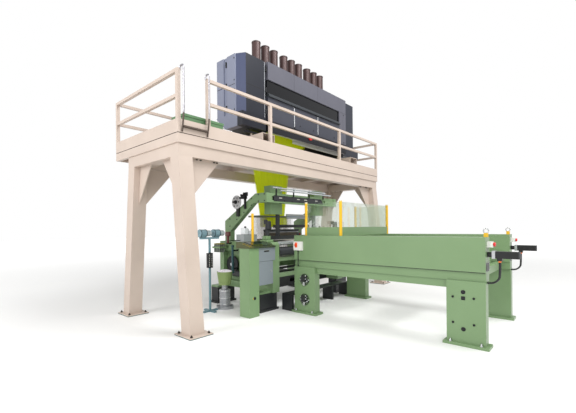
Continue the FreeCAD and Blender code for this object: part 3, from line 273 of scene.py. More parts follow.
def blocks(lows, highs, edge):
    """Rings of boxes whose edges are all chamfered by edge, one box for each row of lows, highs."""
    lows, highs = np.atleast_2d(lows).astype(float), np.atleast_2d(highs).astype(float)
    half = (highs - lows)[:, None, None] / 2
    corner_x = np.array([1, 1, 1, -1, -1, -1, -1, 1])
    corner_y = np.array([-1, 1, 1, 1, 1, -1, -1, -1])
    inset_x = np.array([0, 0, 1, 1, 0, 0, 1, 1])
    inset_y = np.array([1, 1, 0, 0, 1, 1, 0, 0])
    level_z = np.array([-1, -1, 1, 1])[:, None]
    inset_z = np.array([0, 1, 1, 0])[:, None]
    x = corner_x * (half[..., 0] - edge * np.where(inset_z > 0, inset_x, 1))
    y = corner_y * (half[..., 1] - edge * np.where(inset_z > 0, inset_y, 1))
    z = level_z * (half[..., 2] - edge * inset_z) + 0 * corner_x
    return np.stack([x, y, z], -1) + ((lows + highs) / 2)[:, None, None]


def turned(starts, axis, profile, around=24):
    """Rings of pieces turned on a lathe: profile is (distance along axis, radius) pairs, each piece
    starts at a row of starts, and every ring has around points."""
    starts = np.atleast_2d(starts).astype(float)
    axis = np.array(axis, float) / np.linalg.norm(axis)
    aside = np.cross(axis, (0.0, 0.0, 1.0) if abs(axis[2]) < 0.9 else (1.0, 0.0, 0.0))
    aside /= np.linalg.norm(aside)
    other = np.cross(axis, aside)
    angle = 2 * math.pi * (np.arange(around) / around)
    circle = np.cos(angle)[:, None] * aside + np.sin(angle)[:, None] * other
    profile = np.array(profile, float)
    shape = profile[:, 0, None, None] * axis + profile[:, 1, None, None] * circle
    return starts[:, None, None] + shape


def hex_heads(starts, axis, width, height):
    """Rings of six-sided bolt heads of that width over flats and height."""
    reach = width / math.sqrt(3)
    return turned(starts, axis, [(0, reach), (height * 0.8, reach), (height, reach * 0.86)], 6)


def grid_spots(*axes):
    """Every combination of the given coordinates as rows."""
    return np.stack(np.meshgrid(*axes, indexing="ij"), -1).reshape(-1, len(axes))


beige = (194, 178, 166)
shadow_brown = (70, 60, 52)
portal_low, portal_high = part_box("portal_left")
groove_z = (3.24, 3.25)
# The shadow_brown band at groove_z is painted shade: the dark of the edge boards' groove.
beige_paint = painted("beige_enamel_with_painted_groove_shade", beige, zones=[
    ((-4, -4, -0.001), (4, 4, 0.012), (60, 96, 98), 0.6, 0.0),
    ((-4, -4, groove_z[0] - 0.001), (4, 4, groove_z[1] + 0.001), shadow_brown, 0.8, 0.0)])
coat(beige_paint, "portal_left", "portal_right", "deck", "edge_boards", "railing_back")
front_low, front_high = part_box("railing_front")
gate_x = -2.845
coat(painted("beige_rail_and_steel_grips", beige, zones=[
    ((front_low.x - 0.01, front_low.y - 0.01, 3.56), (gate_x, front_high.y + 0.01, front_high.z + 0.01),
     (176, 174, 180), 0.28, 0.9),
    ((front_low.x - 0.01, front_low.y - 0.01, front_low.z - 0.01), (gate_x, front_high.y + 0.01, 3.56),
     (88, 76, 68), 0.5, 0.4)]), "railing_front")
coat(painted("trunk_green_enamel", (86, 122, 84)), "deck_box")

dark_steel = painted("blackened_bolt_steel", (62, 56, 52), 0.45, 6, metal=0.6)
foot_x, foot_y = 3.245, 1.075
middle_y = (portal_low.y + portal_high.y) / 2
anchors = [(sx * foot_x + ax, middle_y + sy * foot_y + ay, 0.025)
           for sx in (-1, 1) for sy in (-1, 1) for ax in (-0.16, 0.16) for ay in (-0.18, 0.18)]
lofts("floor_anchor_nuts", hex_heads(anchors, (0, 0, 1), 0.036, 0.02), dark_steel)
lofts("floor_anchor_studs", turned(anchors, (0, 0, 1), [(-0.02, 0.011), (0.034, 0.011), (0.037, 0.008)], 10),
      dark_steel)
leg_top = 2.885
top_half = 0.905
under_beam = [(sx * x, middle_y + sy * (top_half - 0.10), leg_top) for sx in (-1, 1) for sy in (-1, 1)
              for x in (2.98, 2.9, 2.62, 2.56)]
under_end = [(sx * 3.26, middle_y + y, leg_top) for sx in (-1, 1) for y in (-0.52, -0.3, 0.3, 0.52)]
lofts("beam_bolts", hex_heads(under_beam + under_end, (0, 0, -1), 0.032, 0.018), dark_steel)

# ---- Thread-lifting head ----
# The head's sheet-metal cabinets hold the lifting modules. Blue-grey end cabinets, grey front
# covers with a long tinted window, and nine dark pipes that carry its waste heat up and away.
slate = (24, 27, 38)
slate_paint = painted("head_blue_and_slate", slate, 0.38, 5, zones=[
    ((-1.80, 1.50, 3.6), (-1.553, 2.35, 5.5), (128, 133, 152), 0.4, 0.1),
    ((-1.66, 1.383, 4.12), (-1.553, 1.572, 5.5), (70, 77, 104), 0.4, 0.1)])
coat(slate_paint, "head_left_cabinet")
coat(painted("head_end_blue", (128, 133, 152), 0.4, 5, metal=0.1), "head_left_door")
coat(painted("head_dark_navy", (42, 45, 56), 0.4, 4), "head_right_cabinet", "head_casing")
coat(painted("head_grey_covers", (88, 88, 98), 0.42, 5), "head_fascia")
coat(painted("head_panel_grey", (60, 62, 72), 0.4, 5, zones=[
    ((-1.0, 1.3, 3.6), (2.4, 1.5, 4.1), (20, 22, 30), 0.42, 0.0)]), "head_panels")
coat(painted("head_window_tint", (8, 9, 14), 0.12, 2, 0.00005, zones=[
    ((-1.0, 1.3, 4.6), (2.0, 1.5, 4.7), (52, 56, 60), 0.4, 0.0)]), "head_window")
coat(beige_paint, "head_sills")
coat(painted("lifting_module_black", (30, 31, 34), 0.55, 6), "lifting_modules")
coat(painted("waste_heat_pipe_brown", (74, 54, 52), 0.34, 6, metal=0.25), "exhaust_pipes")
coat(painted("stop_button_red", (214, 34, 30), 0.3, 4), "head_stop_button")

joint_dark = painted("joint_shadow_black", (20, 20, 23), 0.6, 3)
screw_black = painted("blackened_screws", (26, 27, 30), 0.4, 4, metal=0.4)
cover_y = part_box("head_fascia")[0].y
seam = 0.004
door_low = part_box("head_left_door")[0]
split_z = 4.73
skin = 0.0012
cabinet_front = 1.385
split_top = split_z + 0.012
cover_seams = [(-0.92, 2.31, 5.0, 5.004), (-0.016, -0.012, 5.0, 5.4), (0.942, 0.946, 5.0, 5.4),
               (1.955, 1.961, 4.1, 5.0), (2.16, 2.164, 4.1, 5.0), (-0.015, -0.011, 3.852, 4.1),
               (0.94, 0.944, 3.852, 4.1)]
seam_lows = [(-1.557, cabinet_front - skin, split_z), (door_low.x - skin, 1.955, split_z),
             *((left, cover_y - skin, low) for left, right, low, high in cover_seams)]
seam_highs = [(-1.01, cabinet_front + seam, split_top), (door_low.x + seam, 2.19, split_top),
              *((right, cover_y + seam, high) for left, right, low, high in cover_seams)]
lofts("head_cover_joints", blocks(seam_lows, seam_highs, 0.0005), joint_dark)
lofts("end_door_joint", blocks([(door_low.x - skin, 1.58, split_z)], [(door_low.x + seam, 1.833, split_top)],
                               0.0005), joint_dark, "head_door")

# Hinge barrels of the end door and of the front cover's left edge, with the pale jamb behind.
jamb = painted("pale_jamb", (206, 208, 214), 0.4, 5)
lofts("head_jambs", blocks([(-1.0, 1.40, 4.13), (-1.668, 1.84, 4.13)],
                           [(-0.985, 1.465, 5.37), (-1.66, 1.85, 5.37)], 0.001), jamb)
barrel = [(0, 0.010), (0.006, 0.020), (0.11, 0.020), (0.116, 0.010)]
hinge_z = [4.22, 4.70, 5.16]
lofts("head_hinges", turned(np.concatenate([grid_spots([-0.965], [1.385], hinge_z),
                                            grid_spots([-1.676], [1.875], hinge_z)]),
                            (0, 0, 1), barrel, 16), screw_black)

# Pale strips of painted glow in the two gaps between the lower covers, and a bright sill strip.
strip_light = painted("polished_strip_and_painted_slot_glow", (210, 212, 216), 0.25, 5, metal=0.5)
lofts("cover_gap_strips", blocks([(-0.026, cover_y - 0.002, 4.13), (0.929, cover_y - 0.002, 4.13)],
                                 [(-0.002, cover_y + 0.01, 4.60), (0.953, cover_y + 0.01, 4.60)], 0.001),
      strip_light)
lofts("sill_strip", blocks([(-0.88, 1.40, 3.835)], [(2.27, 1.44, 3.848)], 0.003), strip_light)

# White outlet combs in a row under the modules, on a bright rail.
comb_x = np.arange(0.10, 2.2, 0.045)
combs = np.column_stack([comb_x, np.full_like(comb_x, 1.52), np.full_like(comb_x, 3.86)])
lofts("outlet_combs", blocks(combs - (0.014, 0.012, 0.085), combs + (0.014, 0.012, 0.15), 0.003),
      painted("comb_white", (206, 208, 204), 0.4, 8))
lofts("outlet_comb_rail", blocks([(0.06, 1.50, 3.99)], [(2.22, 1.56, 4.012)], 0.003), strip_light)

cover_screws = np.concatenate([
    grid_spots([-0.78, 0.2, 0.75, 1.7], [cover_y], [3.9, 4.2]),
    grid_spots([-0.3, 0.45, 1.35], [cover_y], [4.655]), grid_spots([2.2], [cover_y], [4.95, 4.15])])
end_screws = grid_spots([door_low.x], [1.60], [5.28, 4.82, 4.62, 4.2])
button_head = [(0, 0.016), (0.004, 0.016), (0.008, 0.011), (0.009, 0.004)]
lofts("cover_screws", turned(cover_screws, (0, -1, 0), button_head, 12), screw_black)
lofts("end_door_screws", turned(end_screws, (-1, 0, 0), button_head, 12), screw_black,
      "head_door")

# A rolled rim at each pipe's mouth, and a flashing collar where it leaves the roof.
pipe_low, pipe_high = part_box("exhaust_pipes")
pipe_x = np.array([-0.7, -0.4, -0.1, 0.27, 0.57, 0.87, 1.24, 1.54, 1.84])
pipe_feet = np.stack([pipe_x, 0 * pipe_x + (pipe_low.y + pipe_high.y) / 2, 0 * pipe_x], -1)
pipe_brown = painted("pipe_rim_brown", (60, 44, 42), 0.35, 5, metal=0.3)
rim = [(pipe_high.z - 0.035, 0.1), (pipe_high.z - 0.032, 0.108), (pipe_high.z - 0.012, 0.112),
       (pipe_high.z - 0.002, 0.108), (pipe_high.z - 0.002, 0.1015), (pipe_high.z - 0.03, 0.1005)]
collar = [(pipe_low.z, 0.104), (pipe_low.z, 0.135), (pipe_low.z + 0.012, 0.135), (pipe_low.z + 0.03, 0.108),
          (pipe_low.z + 0.06, 0.106), (pipe_low.z + 0.06, 0.104)]
lofts("pipe_collars", turned(pipe_feet, (0, 0, 1), collar, 40), screw_black)


def hoops(name, starts, axis, profile, finish, around=40):
    """One mesh of closed rings: the profile's own outline is closed and carried once round axis."""
    rings = turned(starts, axis, profile, around)
    pieces, levels = rings.shape[:2]
    spots = np.arange(pieces * levels * around).reshape(pieces, levels, around)
    beside = np.roll(spots, -1, 2)
    faces = np.stack([spots, beside, np.roll(beside, -1, 1), np.roll(spots, -1, 1)], -1).reshape(-1, 4)
    made = fitted(name, rings.reshape(-1, 3), faces.tolist(), finish, "frame", 40)
    corner = rings.reshape(-1, 3)[faces]
    middle = rings.mean((1, 2)).repeat(levels * around, 0)
    swept = np.cross(corner[:, 2] - corner[:, 0], corner[:, 3] - corner[:, 1])
    if (swept * (corner.mean(1) - middle)).sum() < 0:
        made.data.flip_normals()


hoops("pipe_rims", pipe_feet, (0, 0, 1), rim, pipe_brown)

# ---- Lifting cords ----
# Some thousands of bright yellow-green cords hang from the modules. They run together towards
# the comber board, a drilled board that spreads them over the warp.
cord_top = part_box("lifting_cords")[1].z
comber_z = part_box("heddles")[1].z
across_cords, deep_cords = 64, 22
share_x, share_y = (spots.ravel() for spots in np.meshgrid(np.linspace(0, 1, across_cords),
                                                           np.linspace(0, 1, deep_cords), indexing="ij"))
chance = np.random.default_rng(7)
share_x = share_x + chance.uniform(-0.4, 0.4, share_x.size) / across_cords
share_y = share_y + chance.uniform(-0.4, 0.4, share_y.size) / deep_cords
keep_in = 0.008


def cords(name, paths, radius, finish, around=4):
    """Rings of thin upright cords: each follows its path of points, with a level ring at each point."""
    paths = np.asarray(paths, float)
    angle = 2 * math.pi * np.arange(around) / around
    level = np.stack([np.cos(angle), np.sin(angle), 0 * angle], -1) * radius
    return lofts(name, paths[:, :, None] + level, finish)


def spread(x_range, y_range, z):
    """The cords' places at one height, the same share of the way across each range."""
    x = x_range[0] + keep_in + (x_range[1] - x_range[0] - 2 * keep_in) * np.clip(share_x, 0, 1)
    y = y_range[0] + keep_in + (y_range[1] - y_range[0] - 2 * keep_in) * np.clip(share_y, 0, 1)
    return np.stack([x, y, np.full_like(x, z)], -1)


cord_paths = np.stack([spread((-0.64, 0.90), (1.565, 2.425), cord_top),
                       spread((-0.50, 0.36), (1.865, 2.365), 3.26),
                       spread((-0.35, 0.25), (1.955, 2.275), comber_z)], 1)
cord_yellow, cord_shader, add, wire = new_finish("lifting_cord_yellow_green_painted_glow")
cord_place = add("ShaderNodeTexCoord")
streak_scale = add("ShaderNodeMapping", {"Vector": cord_place.outputs["Object"], "Scale": (60.0, 60.0, 0.8)})
streaks = add("ShaderNodeTexNoise", {"Vector": streak_scale.outputs[0], "Scale": 1.0, "Detail": 3.0})
cord_shade = add("ShaderNodeMix", {"Factor": streaks.outputs["Fac"], "A": tone(196, 206, 8),
                                   "B": tone(246, 250, 44)}, data_type="RGBA")
wire(cord_shade.outputs["Result"], "Base Color")
cord_shader.inputs["Roughness"].default_value = 0.6
# The slight emission in the cords' own yellow-green is painted glow. It lifts the sheaf where its strands
# shade one another.
cord_shader.inputs["Emission Color"].default_value = tone(196, 214, 0)
cord_shader.inputs["Emission Strength"].default_value = 0.12
cord_sheaf = cords("lifting_cord_strands", cord_paths, 0.0042, cord_yellow)
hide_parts("lifting_cords")

# ---- Head's rear covers ----
# The back of the head is closed by eight lift-off sheet covers with louvred vents, screwed at
# their corners, so that the modules can be reached from the deck.
case_low, case_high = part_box("head_casing")
bays = 8
bay = (case_high.x - case_low.x) / bays
bay_edges = case_low.x + bay * np.arange(1, bays)
rear_y = case_high.y
edge_lows = np.array([(x - 0.003, rear_y - 0.004, case_low.z + 0.06) for x in bay_edges])
edge_highs = np.array([(x + 0.003, rear_y + 0.0012, case_high.z - 0.03) for x in bay_edges])
lofts("rear_cover_joints", blocks(edge_lows, edge_highs, 0.0005), joint_dark)
louvre_z = 4.1 + 0.035 * np.arange(8)
louvre_spots = grid_spots(case_low.x + bay * (np.arange(bays) + 0.5), [rear_y], louvre_z)
lofts("rear_louvres", blocks(louvre_spots - (0.15, 0.002, 0.009), louvre_spots + (0.15, 0.008, 0.004), 0.003),
      painted("louvre_navy", (58, 62, 76), 0.4, 5))
rear_screws = grid_spots(np.concatenate([bay_edges - 0.03, bay_edges + 0.03]), [rear_y],
                         (case_low.z + 0.10, case_high.z - 0.07))
lofts("rear_cover_screws", turned(rear_screws, (0, 1, 0), button_head, 10), screw_black)

# ---- Comber board, heddles and warp ----
# Below the comber board each cord ends in a wire heddle with an eye for one warp thread. The
# warp runs from the back roller through the eyes and the reed, and leaves as cloth.
warp_low, warp_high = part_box("warp_and_cloth")
heddle_low, heddle_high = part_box("heddles")
board_thick = 0.04
comber_brown = painted("comber_board_grey", (112, 118, 104), 0.6, 6)
heddle_wire = painted("heddle_wire_steel", (150, 142, 128), 0.35, 8, metal=0.6)
lofts("comber_board", blocks([(heddle_low.x, heddle_low.y, heddle_high.z - board_thick)], [heddle_high],
                             0.003), comber_brown)
wire_spots = grid_spots(np.linspace(-0.61, 0.61, 62), np.linspace(1.99, 2.24, 6))
wire_spots = wire_spots + chance.uniform(-0.004, 0.004, wire_spots.shape)


def uprights(spots, z_low, z_high):
    """Two-point upright paths at the given places."""
    ends = [np.column_stack([spots, np.full(len(spots), z)]) for z in (z_low, z_high)]
    return np.stack(ends, 1)


eye_half = 0.012
heddle_wires = cords("heddle_wires", np.concatenate([
    uprights(wire_spots, heddle_low.z, warp_high.z - eye_half),
    uprights(wire_spots, warp_high.z + eye_half, heddle_high.z - board_thick)]), 0.0016, heddle_wire,
    3)
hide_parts("heddles")
eye_spots = np.column_stack([wire_spots, np.full(len(wire_spots), warp_high.z)])
lofts("heddle_eyes", turned(eye_spots - (0, 0, eye_half + 0.002), (0, 0, 1),
                            [(0, 0.0016), (0.006, 0.0032), (0.022, 0.0032), (0.028, 0.0016)], 4),
      heddle_wire)

fell_y, cloth_y = 1.665, warp_low.y
cloth_mesh = bpy.data.meshes.new("woven_cloth")
cloth_half, cloth_z = 0.6, warp_low.z + 0.001
rows, columns = 36, 60
along, across = (spots.ravel() for spots in np.meshgrid(np.linspace(0, 1, rows), np.linspace(-1, 1, columns),
                                                        indexing="ij"))
sink = 0.0004 * np.sin(across * 17) * np.sin(along * math.pi)
corner = np.arange(rows * columns).reshape(rows, columns)
cloth_faces = np.stack([corner[:-1, :-1], corner[:-1, 1:], corner[1:, 1:], corner[1:, :-1]], -1)
cloth_mesh.from_pydata(np.column_stack([across * cloth_half, cloth_y + along * (fell_y - cloth_y),
                                        cloth_z + sink]), [], cloth_faces.reshape(-1, 4).tolist())
cloth_mesh.shade_smooth()
cloth = bpy.data.objects.new("woven_cloth", cloth_mesh)
bpy.context.scene.collection.objects.link(cloth)
cloth_white, cloth_shader, add, wire = new_finish("plain_weave_cloth")
cloth_place = add("ShaderNodeTexCoord")
weave_scale = {"Vector": cloth_place.outputs["Object"], "Scale": 130.0}
picks = add("ShaderNodeTexWave", weave_scale, bands_direction="X")
ends = add("ShaderNodeTexWave", weave_scale, bands_direction="Y")
weave = add("ShaderNodeMath", {0: picks.outputs["Fac"], 1: ends.outputs["Fac"]}, operation="MULTIPLY")
cloth_shade = add("ShaderNodeMix", {"Factor": weave.outputs[0], "A": tone(186, 182, 172),
                                    "B": tone(224, 222, 214)}, data_type="RGBA")
wire(cloth_shade.outputs["Result"], "Base Color")
cloth_bump = add("ShaderNodeBump", {"Height": weave.outputs[0], "Distance": 0.0004, "Strength": 0.6})
wire(cloth_bump.outputs["Normal"], "Normal")
cloth_shader.inputs["Roughness"].default_value = 0.85
cloth_mesh.materials.append(cloth_white)
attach(cloth, "frame")

thread_x = np.linspace(-0.595, 0.595, 150)
thread_ends = [np.column_stack([thread_x, 0 * thread_x + y, 0 * thread_x + cloth_z]) for y in (1.875, 2.55)]
angle = 2 * math.pi * np.arange(3) / 3
thread_ring = 0.0012 * np.stack([np.cos(angle), 0 * angle, np.sin(angle)], -1)
warp_threads = lofts("warp_threads", np.stack(thread_ends, 1)[:, :, None] + thread_ring, cloth_white)
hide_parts("warp_and_cloth")

# ---- Loom ----
# Cast side frames in sage-green enamel carry the rollers, the swinging sley with its reed, and
# the arms and top beam that the comber board hangs from. Working parts are black or bright.
green = (114, 141, 100)
green_paint = painted("sage_green_enamel", green, 0.33, 6)
slot_black = (22, 24, 24)
coat(painted("green_beam_with_black_slot", green, 0.33, 6, zones=[
    ((-1.07, 1.081, 2.285), (0.7, 1.115, 2.38), slot_black, 0.5, 0.0)]), "top_beam")
side_low, side_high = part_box("side_frame_left")
bolt_zone = [((side_low.x - 0.2, side_low.y, 1.62), (-1.3005, side_high.y, 2.5), (30, 32, 30), 0.5, 0.2)]
coat(painted("green_casting_left", green, 0.36, 7, zones=bolt_zone), "side_frame_left")
coat(painted("green_casting_right", green, 0.36, 7, zones=[
    ((1.3005, side_low.y, 1.62), (1.5, side_high.y, 2.5), (30, 32, 30), 0.5, 0.2)]), "side_frame_right")
machine_black = painted("machine_black_enamel", (34, 36, 38), 0.4, 7)
coat(green_paint, "cross_rails")
coat(machine_black, "loom_feet", "temple_bar", "main_drive", "front_step", "sley_with_reed")
steel = painted("ground_roller_steel", (190, 194, 196), 0.24, 7, 0.0001, 0.85)
coat(steel, "breast_tube", "back_roller", "clamp_carriage")
coat(painted("take_up_roller_rubber", (40, 42, 46), 0.5, 6), "cloth_roller")
coat(painted("weft_carrier_black", (26, 27, 30), 0.35, 5), "weft_carrier_left", "weft_carrier_right")
coat(painted("carrier_housing_grey", (150, 156, 156), 0.4, 8), "carrier_housings")
coat(painted("reel_light_grey", (182, 182, 184), 0.4, 7), "selvedge_reel")

# ---- Fitted parts of the loom ----
# Bought-in units are bolted on the castings: a black scale rail and a silver air line on the top
# beam, rapier heads on green feet, a valve bank and a yarn clamp. Most are enamelled or anodised.


def prisms(name, outline, y_range, finish):
    """A plate whose outline is given in x and z and which runs from y to y."""
    rings = [[(x, y, z) for x, z in outline] for y in y_range]
    return lofts(name, [rings], finish)


front_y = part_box("top_beam")[0].y
rail_face = front_y - 0.008
rail_start, rail_end, rail_foot, rail_top = -1.07, 0.64, 2.272, 2.396
rail_outline = [(rail_start, rail_foot), (rail_start, rail_top), (rail_end, rail_top),
                (rail_end + 0.10, rail_foot)]
prisms("scale_rail", rail_outline, (rail_face, front_y + 0.001), machine_black)
mark_spots = np.array([(x, front_y - 0.009, 2.345) for x in (-0.86, -0.25, 0.02, 0.44)])
mark_half = np.array((0.05, 0.001, 0.007))
lofts("scale_rail_marks", blocks(mark_spots - mark_half, mark_spots + mark_half, 0.0005),
      painted("bare_mark_white", (206, 206, 196), 0.5, 6))
rail_screws = grid_spots(np.linspace(-1.0, 0.6, 7), [rail_face], (2.288, 2.382))
lofts("scale_rail_screws", turned(rail_screws, (0, -1, 0), button_head, 10), screw_black)

line_y = front_y - 0.03
line_z = 2.555
silver = painted("air_line_silver", (198, 202, 206), 0.22, 8, metal=0.7)
line_pipe = [(0, 0.017), (1.9, 0.017)]
lofts("air_line", turned([(-1.12, line_y, line_z), (-0.9, line_y - 0.02, line_z - 0.05)], (1, 0, 0),
                         line_pipe, 16), silver)
line_spots = np.linspace(-1.0, 0.72, 4)
union = [(-0.03, 0.018), (-0.03, 0.024), (0.03, 0.024), (0.03, 0.018)]
lofts("air_line_unions", turned(grid_spots(line_spots, [line_y], [line_z]), (1, 0, 0), union, 8), silver)
brackets = grid_spots(line_spots, [line_y + 0.018], [line_z])
lofts("air_line_brackets", blocks(brackets - (0.012, 0.015, 0.16), brackets + (0.012, 0.010, 0.012), 0.002),
      screw_black)

# Two cross beams behind the sley, one of them pale grey with a blue line, and the ends of the
# lifting cords that show among the heddles under the comber board.
pale_beam = painted("pale_beam_blue_line", (196, 200, 202), 0.35, 6, zones=[
    ((-2, 1.8, 1.978), (2, 2.0, 1.988), (44, 92, 168), 0.4, 0.0)])
lofts("pale_cross_beam", blocks([(0.24, 1.868, 1.93)], [(1.178, 1.915, 2.05)], 0.006), pale_beam)
lofts("black_cross_beam", blocks([(-0.24, 1.868, 1.70)], [(1.178, 1.915, 1.775)], 0.008), machine_black)
tail_spots = grid_spots(np.linspace(-0.34, 0.34, 46), np.linspace(1.96, 2.24, 7))
tail_spots = tail_spots + chance.uniform(-0.004, 0.004, tail_spots.shape)
cords("harness_tails", uprights(tail_spots, 1.72, heddle_high.z - board_thick), 0.0036, cord_yellow)

# The reed: flat steel dents between two ribs, clamped in the sley.
dents = np.array([(x, 1.8175, 1.50) for x in np.linspace(-0.62, 0.62, 156)])
dent_half = np.array((0.0012, 0.002, 0.085))
reed_steel = painted("reed_dent_steel", (150, 138, 122), 0.3, 10, metal=0.7)
lofts("reed_dents", blocks(dents - dent_half, dents + dent_half, 0.0003), reed_steel, "sley")
lofts("reed_ribs", blocks([(-0.63, 1.812, 1.405), (-0.63, 1.812, 1.585)],
                          [(0.63, 1.820, 1.418), (0.63, 1.820, 1.600)], 0.002), silver,
      "sley")

# Rapier heads with their green feet, and the white drive modules on the carrier housings.


def side_blocks(side, pairs, edge):
    """Chamfered boxes on one side of the loom, from pairs of corners with x counted outwards."""
    lows, highs = (np.array(corners, float) for corners in zip(*pairs))
    left, right = (lows, highs) if side > 0 else (highs, lows)
    return blocks(np.column_stack([side * left[:, 0], lows[:, 1:]]),
                  np.column_stack([side * right[:, 0], highs[:, 1:]]), edge)


rapier_feet = [((1.14, 1.02, 1.39), (1.34, 1.24, 1.45)), ((1.18, 1.06, 1.45), (1.31, 1.20, 1.53))]
rapier_heads = [((1.21, 1.06, 1.52), (1.28, 1.15, 1.70)), ((1.19, 1.03, 1.66), (1.30, 1.12, 1.84)),
                ((1.22, 1.10, 1.78), (1.27, 1.20, 1.87))]
modules = [((1.15, 1.60, 1.559), (1.29, 1.77, 1.64)), ((1.31, 1.62, 1.559), (1.42, 1.76, 1.70)),
           ((1.36, 1.58, 1.42), (1.47, 1.60, 1.52))]
module_tops = ((1.19, 1.64, 1.64), (1.25, 1.72, 1.64), (1.37, 1.66, 1.70))
module_knob = [(0, 0.024), (0.03, 0.024), (0.036, 0.018)]
for side, name in ((-1, "left"), (1, "right")):
    lofts(f"rapier_foot_{name}", side_blocks(side, rapier_feet, 0.014), green_paint)
    lofts(f"rapier_head_{name}", side_blocks(side, rapier_heads, 0.016), machine_black)
    lofts(f"carrier_modules_{name}", side_blocks(side, modules, 0.010),
          painted(f"module_white_{name}", (226, 230, 232), 0.35, 8))
    knobs = [(side * x, y, z) for x, y, z in module_tops]
    lofts(f"module_knobs_{name}", turned(knobs, (0, 0, 1), module_knob, 18), screw_black)

# Valve bank, teal column, brown filter and the clamp of the selvedge yarn, all on the left frame.
teal = painted("column_teal", (34, 72, 76), 0.35, 8)
upright_axis = (0, 0, 1)
column = [(0, 0.034), (0.02, 0.034), (0.02, 0.026), (0.58, 0.026), (0.58, 0.036), (0.62, 0.036)]
lofts("supply_column", turned([(-1.45, 2.0, 0.70)], upright_axis, column, 24), teal)
column_arms = np.array([(-1.375, 2.0, z) for z in (0.80, 1.20)])
arm_half = np.array((0.08, 0.02, 0.015))
lofts("supply_column_arms", blocks(column_arms - arm_half, column_arms + arm_half, 0.004), screw_black)
filter_bowl = [(0, 0.03), (0.16, 0.03), (0.16, 0.062), (0.24, 0.062), (0.26, 0.05)]
lofts("brown_filter", turned([(-1.39, 2.235, 1.36)], upright_axis, filter_bowl, 28),
      painted("filter_brown", (92, 44, 38), 0.4, 6))
frame_face = -1.298
lofts("filter_bracket", blocks([(-1.42, 2.21, 1.34)], [(frame_face, 2.26, 1.37)], 0.003), screw_black)
lofts("valve_bank_plate", blocks([(-1.55, 2.33, 1.24), (-1.40, 2.42, 1.20)],
                                 [(-1.34, 2.62, 1.28), (frame_face, 2.52, 1.24)], 0.005), green_paint)
bank = grid_spots((-1.52, -1.46, -1.40), (2.37, 2.43, 2.49, 2.55), [1.28])
valve_body = [(-0.13, 0.014), (-0.13, 0.022), (0.05, 0.022), (0.05, 0.012)]
valve_cap = [(0, 0.016), (0.022, 0.016), (0.026, 0.012)]
lofts("valve_bank_bodies", turned(bank, upright_axis, valve_body, 14),
      painted("valve_body_grey", (112, 118, 110), 0.35, 14, metal=0.5))
lofts("valve_bank_caps", turned(bank + (0, 0, 0.05), upright_axis, valve_cap, 14),
      painted("valve_cap_ochre", (150, 140, 46), 0.4, 14))
lofts("yarn_clamp", blocks([(-1.345, 1.69, 2.12), (-1.39, 1.66, 2.34), (-1.37, 1.60, 2.40)],
                           [(frame_face, 1.73, 2.38), (-1.30, 1.79, 2.44), (-1.33, 1.67, 2.48)], 0.005),
      screw_black)
clamp_pins = [(-1.39, y, z) for y, z in ((1.68, 2.37), (1.72, 2.42), (1.76, 2.36), (1.63, 2.45))]
clamp_knob = [(0, 0.008), (0.02, 0.008), (0.02, 0.02), (0.05, 0.02)]
lofts("yarn_clamp_knobs", turned(clamp_pins, (-1, 0, 0), clamp_knob, 16), screw_black)

# Black pulleys with bright hubs run in the side frames' outer recesses, under rounded belt covers.
# Each wheel is given by its y and z and its radius, and the profiles by shares of that radius.
wheels = ((2.26, 0.86, 0.20), (1.86, 0.98, 0.12), (1.55, 0.78, 0.16), (1.25, 0.96, 0.09))
wheel_x = 1.22
pulley = [(0.0, 0.90), (0.004, 1.0), (0.03, 1.0), (0.034, 0.88), (0.028, 0.84), (0.028, 0.30),
          (0.045, 0.28), (0.048, 0.22)]
hub = [(0.04, 0.2), (0.056, 0.2), (0.06, 0.14)]
for side, name in ((-1, "left"), (1, "right")):
    for number, (wheel_y, wheel_z, reach) in enumerate(wheels, 1):
        rim_line, hub_line = ([(out, share * reach) for out, share in line] for line in (pulley, hub))
        spot = [(side * wheel_x, wheel_y, wheel_z)]
        lofts(f"pulley_{name}_{number}", turned(spot, (side, 0, 0), rim_line, 40), screw_black)
        lofts(f"pulley_hub_{name}_{number}", turned(spot, (side, 0, 0), hub_line, 24), silver)
    covers = np.array([(side * 1.25, 1.72, 0.62), (side * 1.245, 2.05, 0.66)])
    lofts(f"belt_covers_{name}", blocks(covers - (0.03, 0.30, 0.07), covers + (0.03, 0.20, 0.06), 0.02),
          machine_black)

reel_low, reel_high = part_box("selvedge_reel")
reel_y, reel_z = (reel_low.y + reel_high.y) / 2, (reel_low.z + reel_high.z) / 2
reel_nave = [(-0.001, 0.045), (0.012, 0.045), (0.016, 0.02), (0.085, 0.016), (0.09, 0.010)]
lofts("reel_hub", turned([(reel_low.x, reel_y, reel_z)], (-1, 0, 0), reel_nave, 28), screw_black,
      "reel")
bolt_circle = 0.1
rim_angle = 2 * math.pi * np.arange(6) / 6
rim_bolts = [(reel_low.x, reel_y + bolt_circle * math.cos(a), reel_z + bolt_circle * math.sin(a))
             for a in rim_angle]
lofts("reel_bolts", turned(rim_bolts, (-1, 0, 0), button_head, 10), screw_black, "reel")

# ---- Take-off bench ----
# Two long box beams in the same green enamel stand on plate-footed legs. The cloth clamp runs
# between them on steel ways, pulled by a drive motor at the end of each beam.
coat(green_paint, "bench_legs", "bench_beams", "guard_kick_panels")
screen_clear, screen_shader, add, wire = new_finish("green_tinted_acrylic")
screen_shader.inputs["Base Color"].default_value = tone(216, 236, 212)
screen_shader.inputs["Roughness"].default_value = 0.06
screen_shader.inputs["Transmission Weight"].default_value = 0.9
screen_shader.inputs["IOR"].default_value = 1.05
screen_shader.inputs["Alpha"].default_value = 0.35
screen_place = add("ShaderNodeTexCoord")
screen_dust = add("ShaderNodeTexNoise", {"Vector": screen_place.outputs["Object"], "Scale": 6.0,
                                         "Detail": 5.0})
screen_haze = add("ShaderNodeMapRange", {"Value": screen_dust.outputs["Fac"], "To Min": 0.03, "To Max": 0.12})
wire(screen_haze.outputs["Result"], "Roughness")
coat(screen_clear, "guard_screens")
yellow = (226, 178, 26)
ring_low_z = 1.597
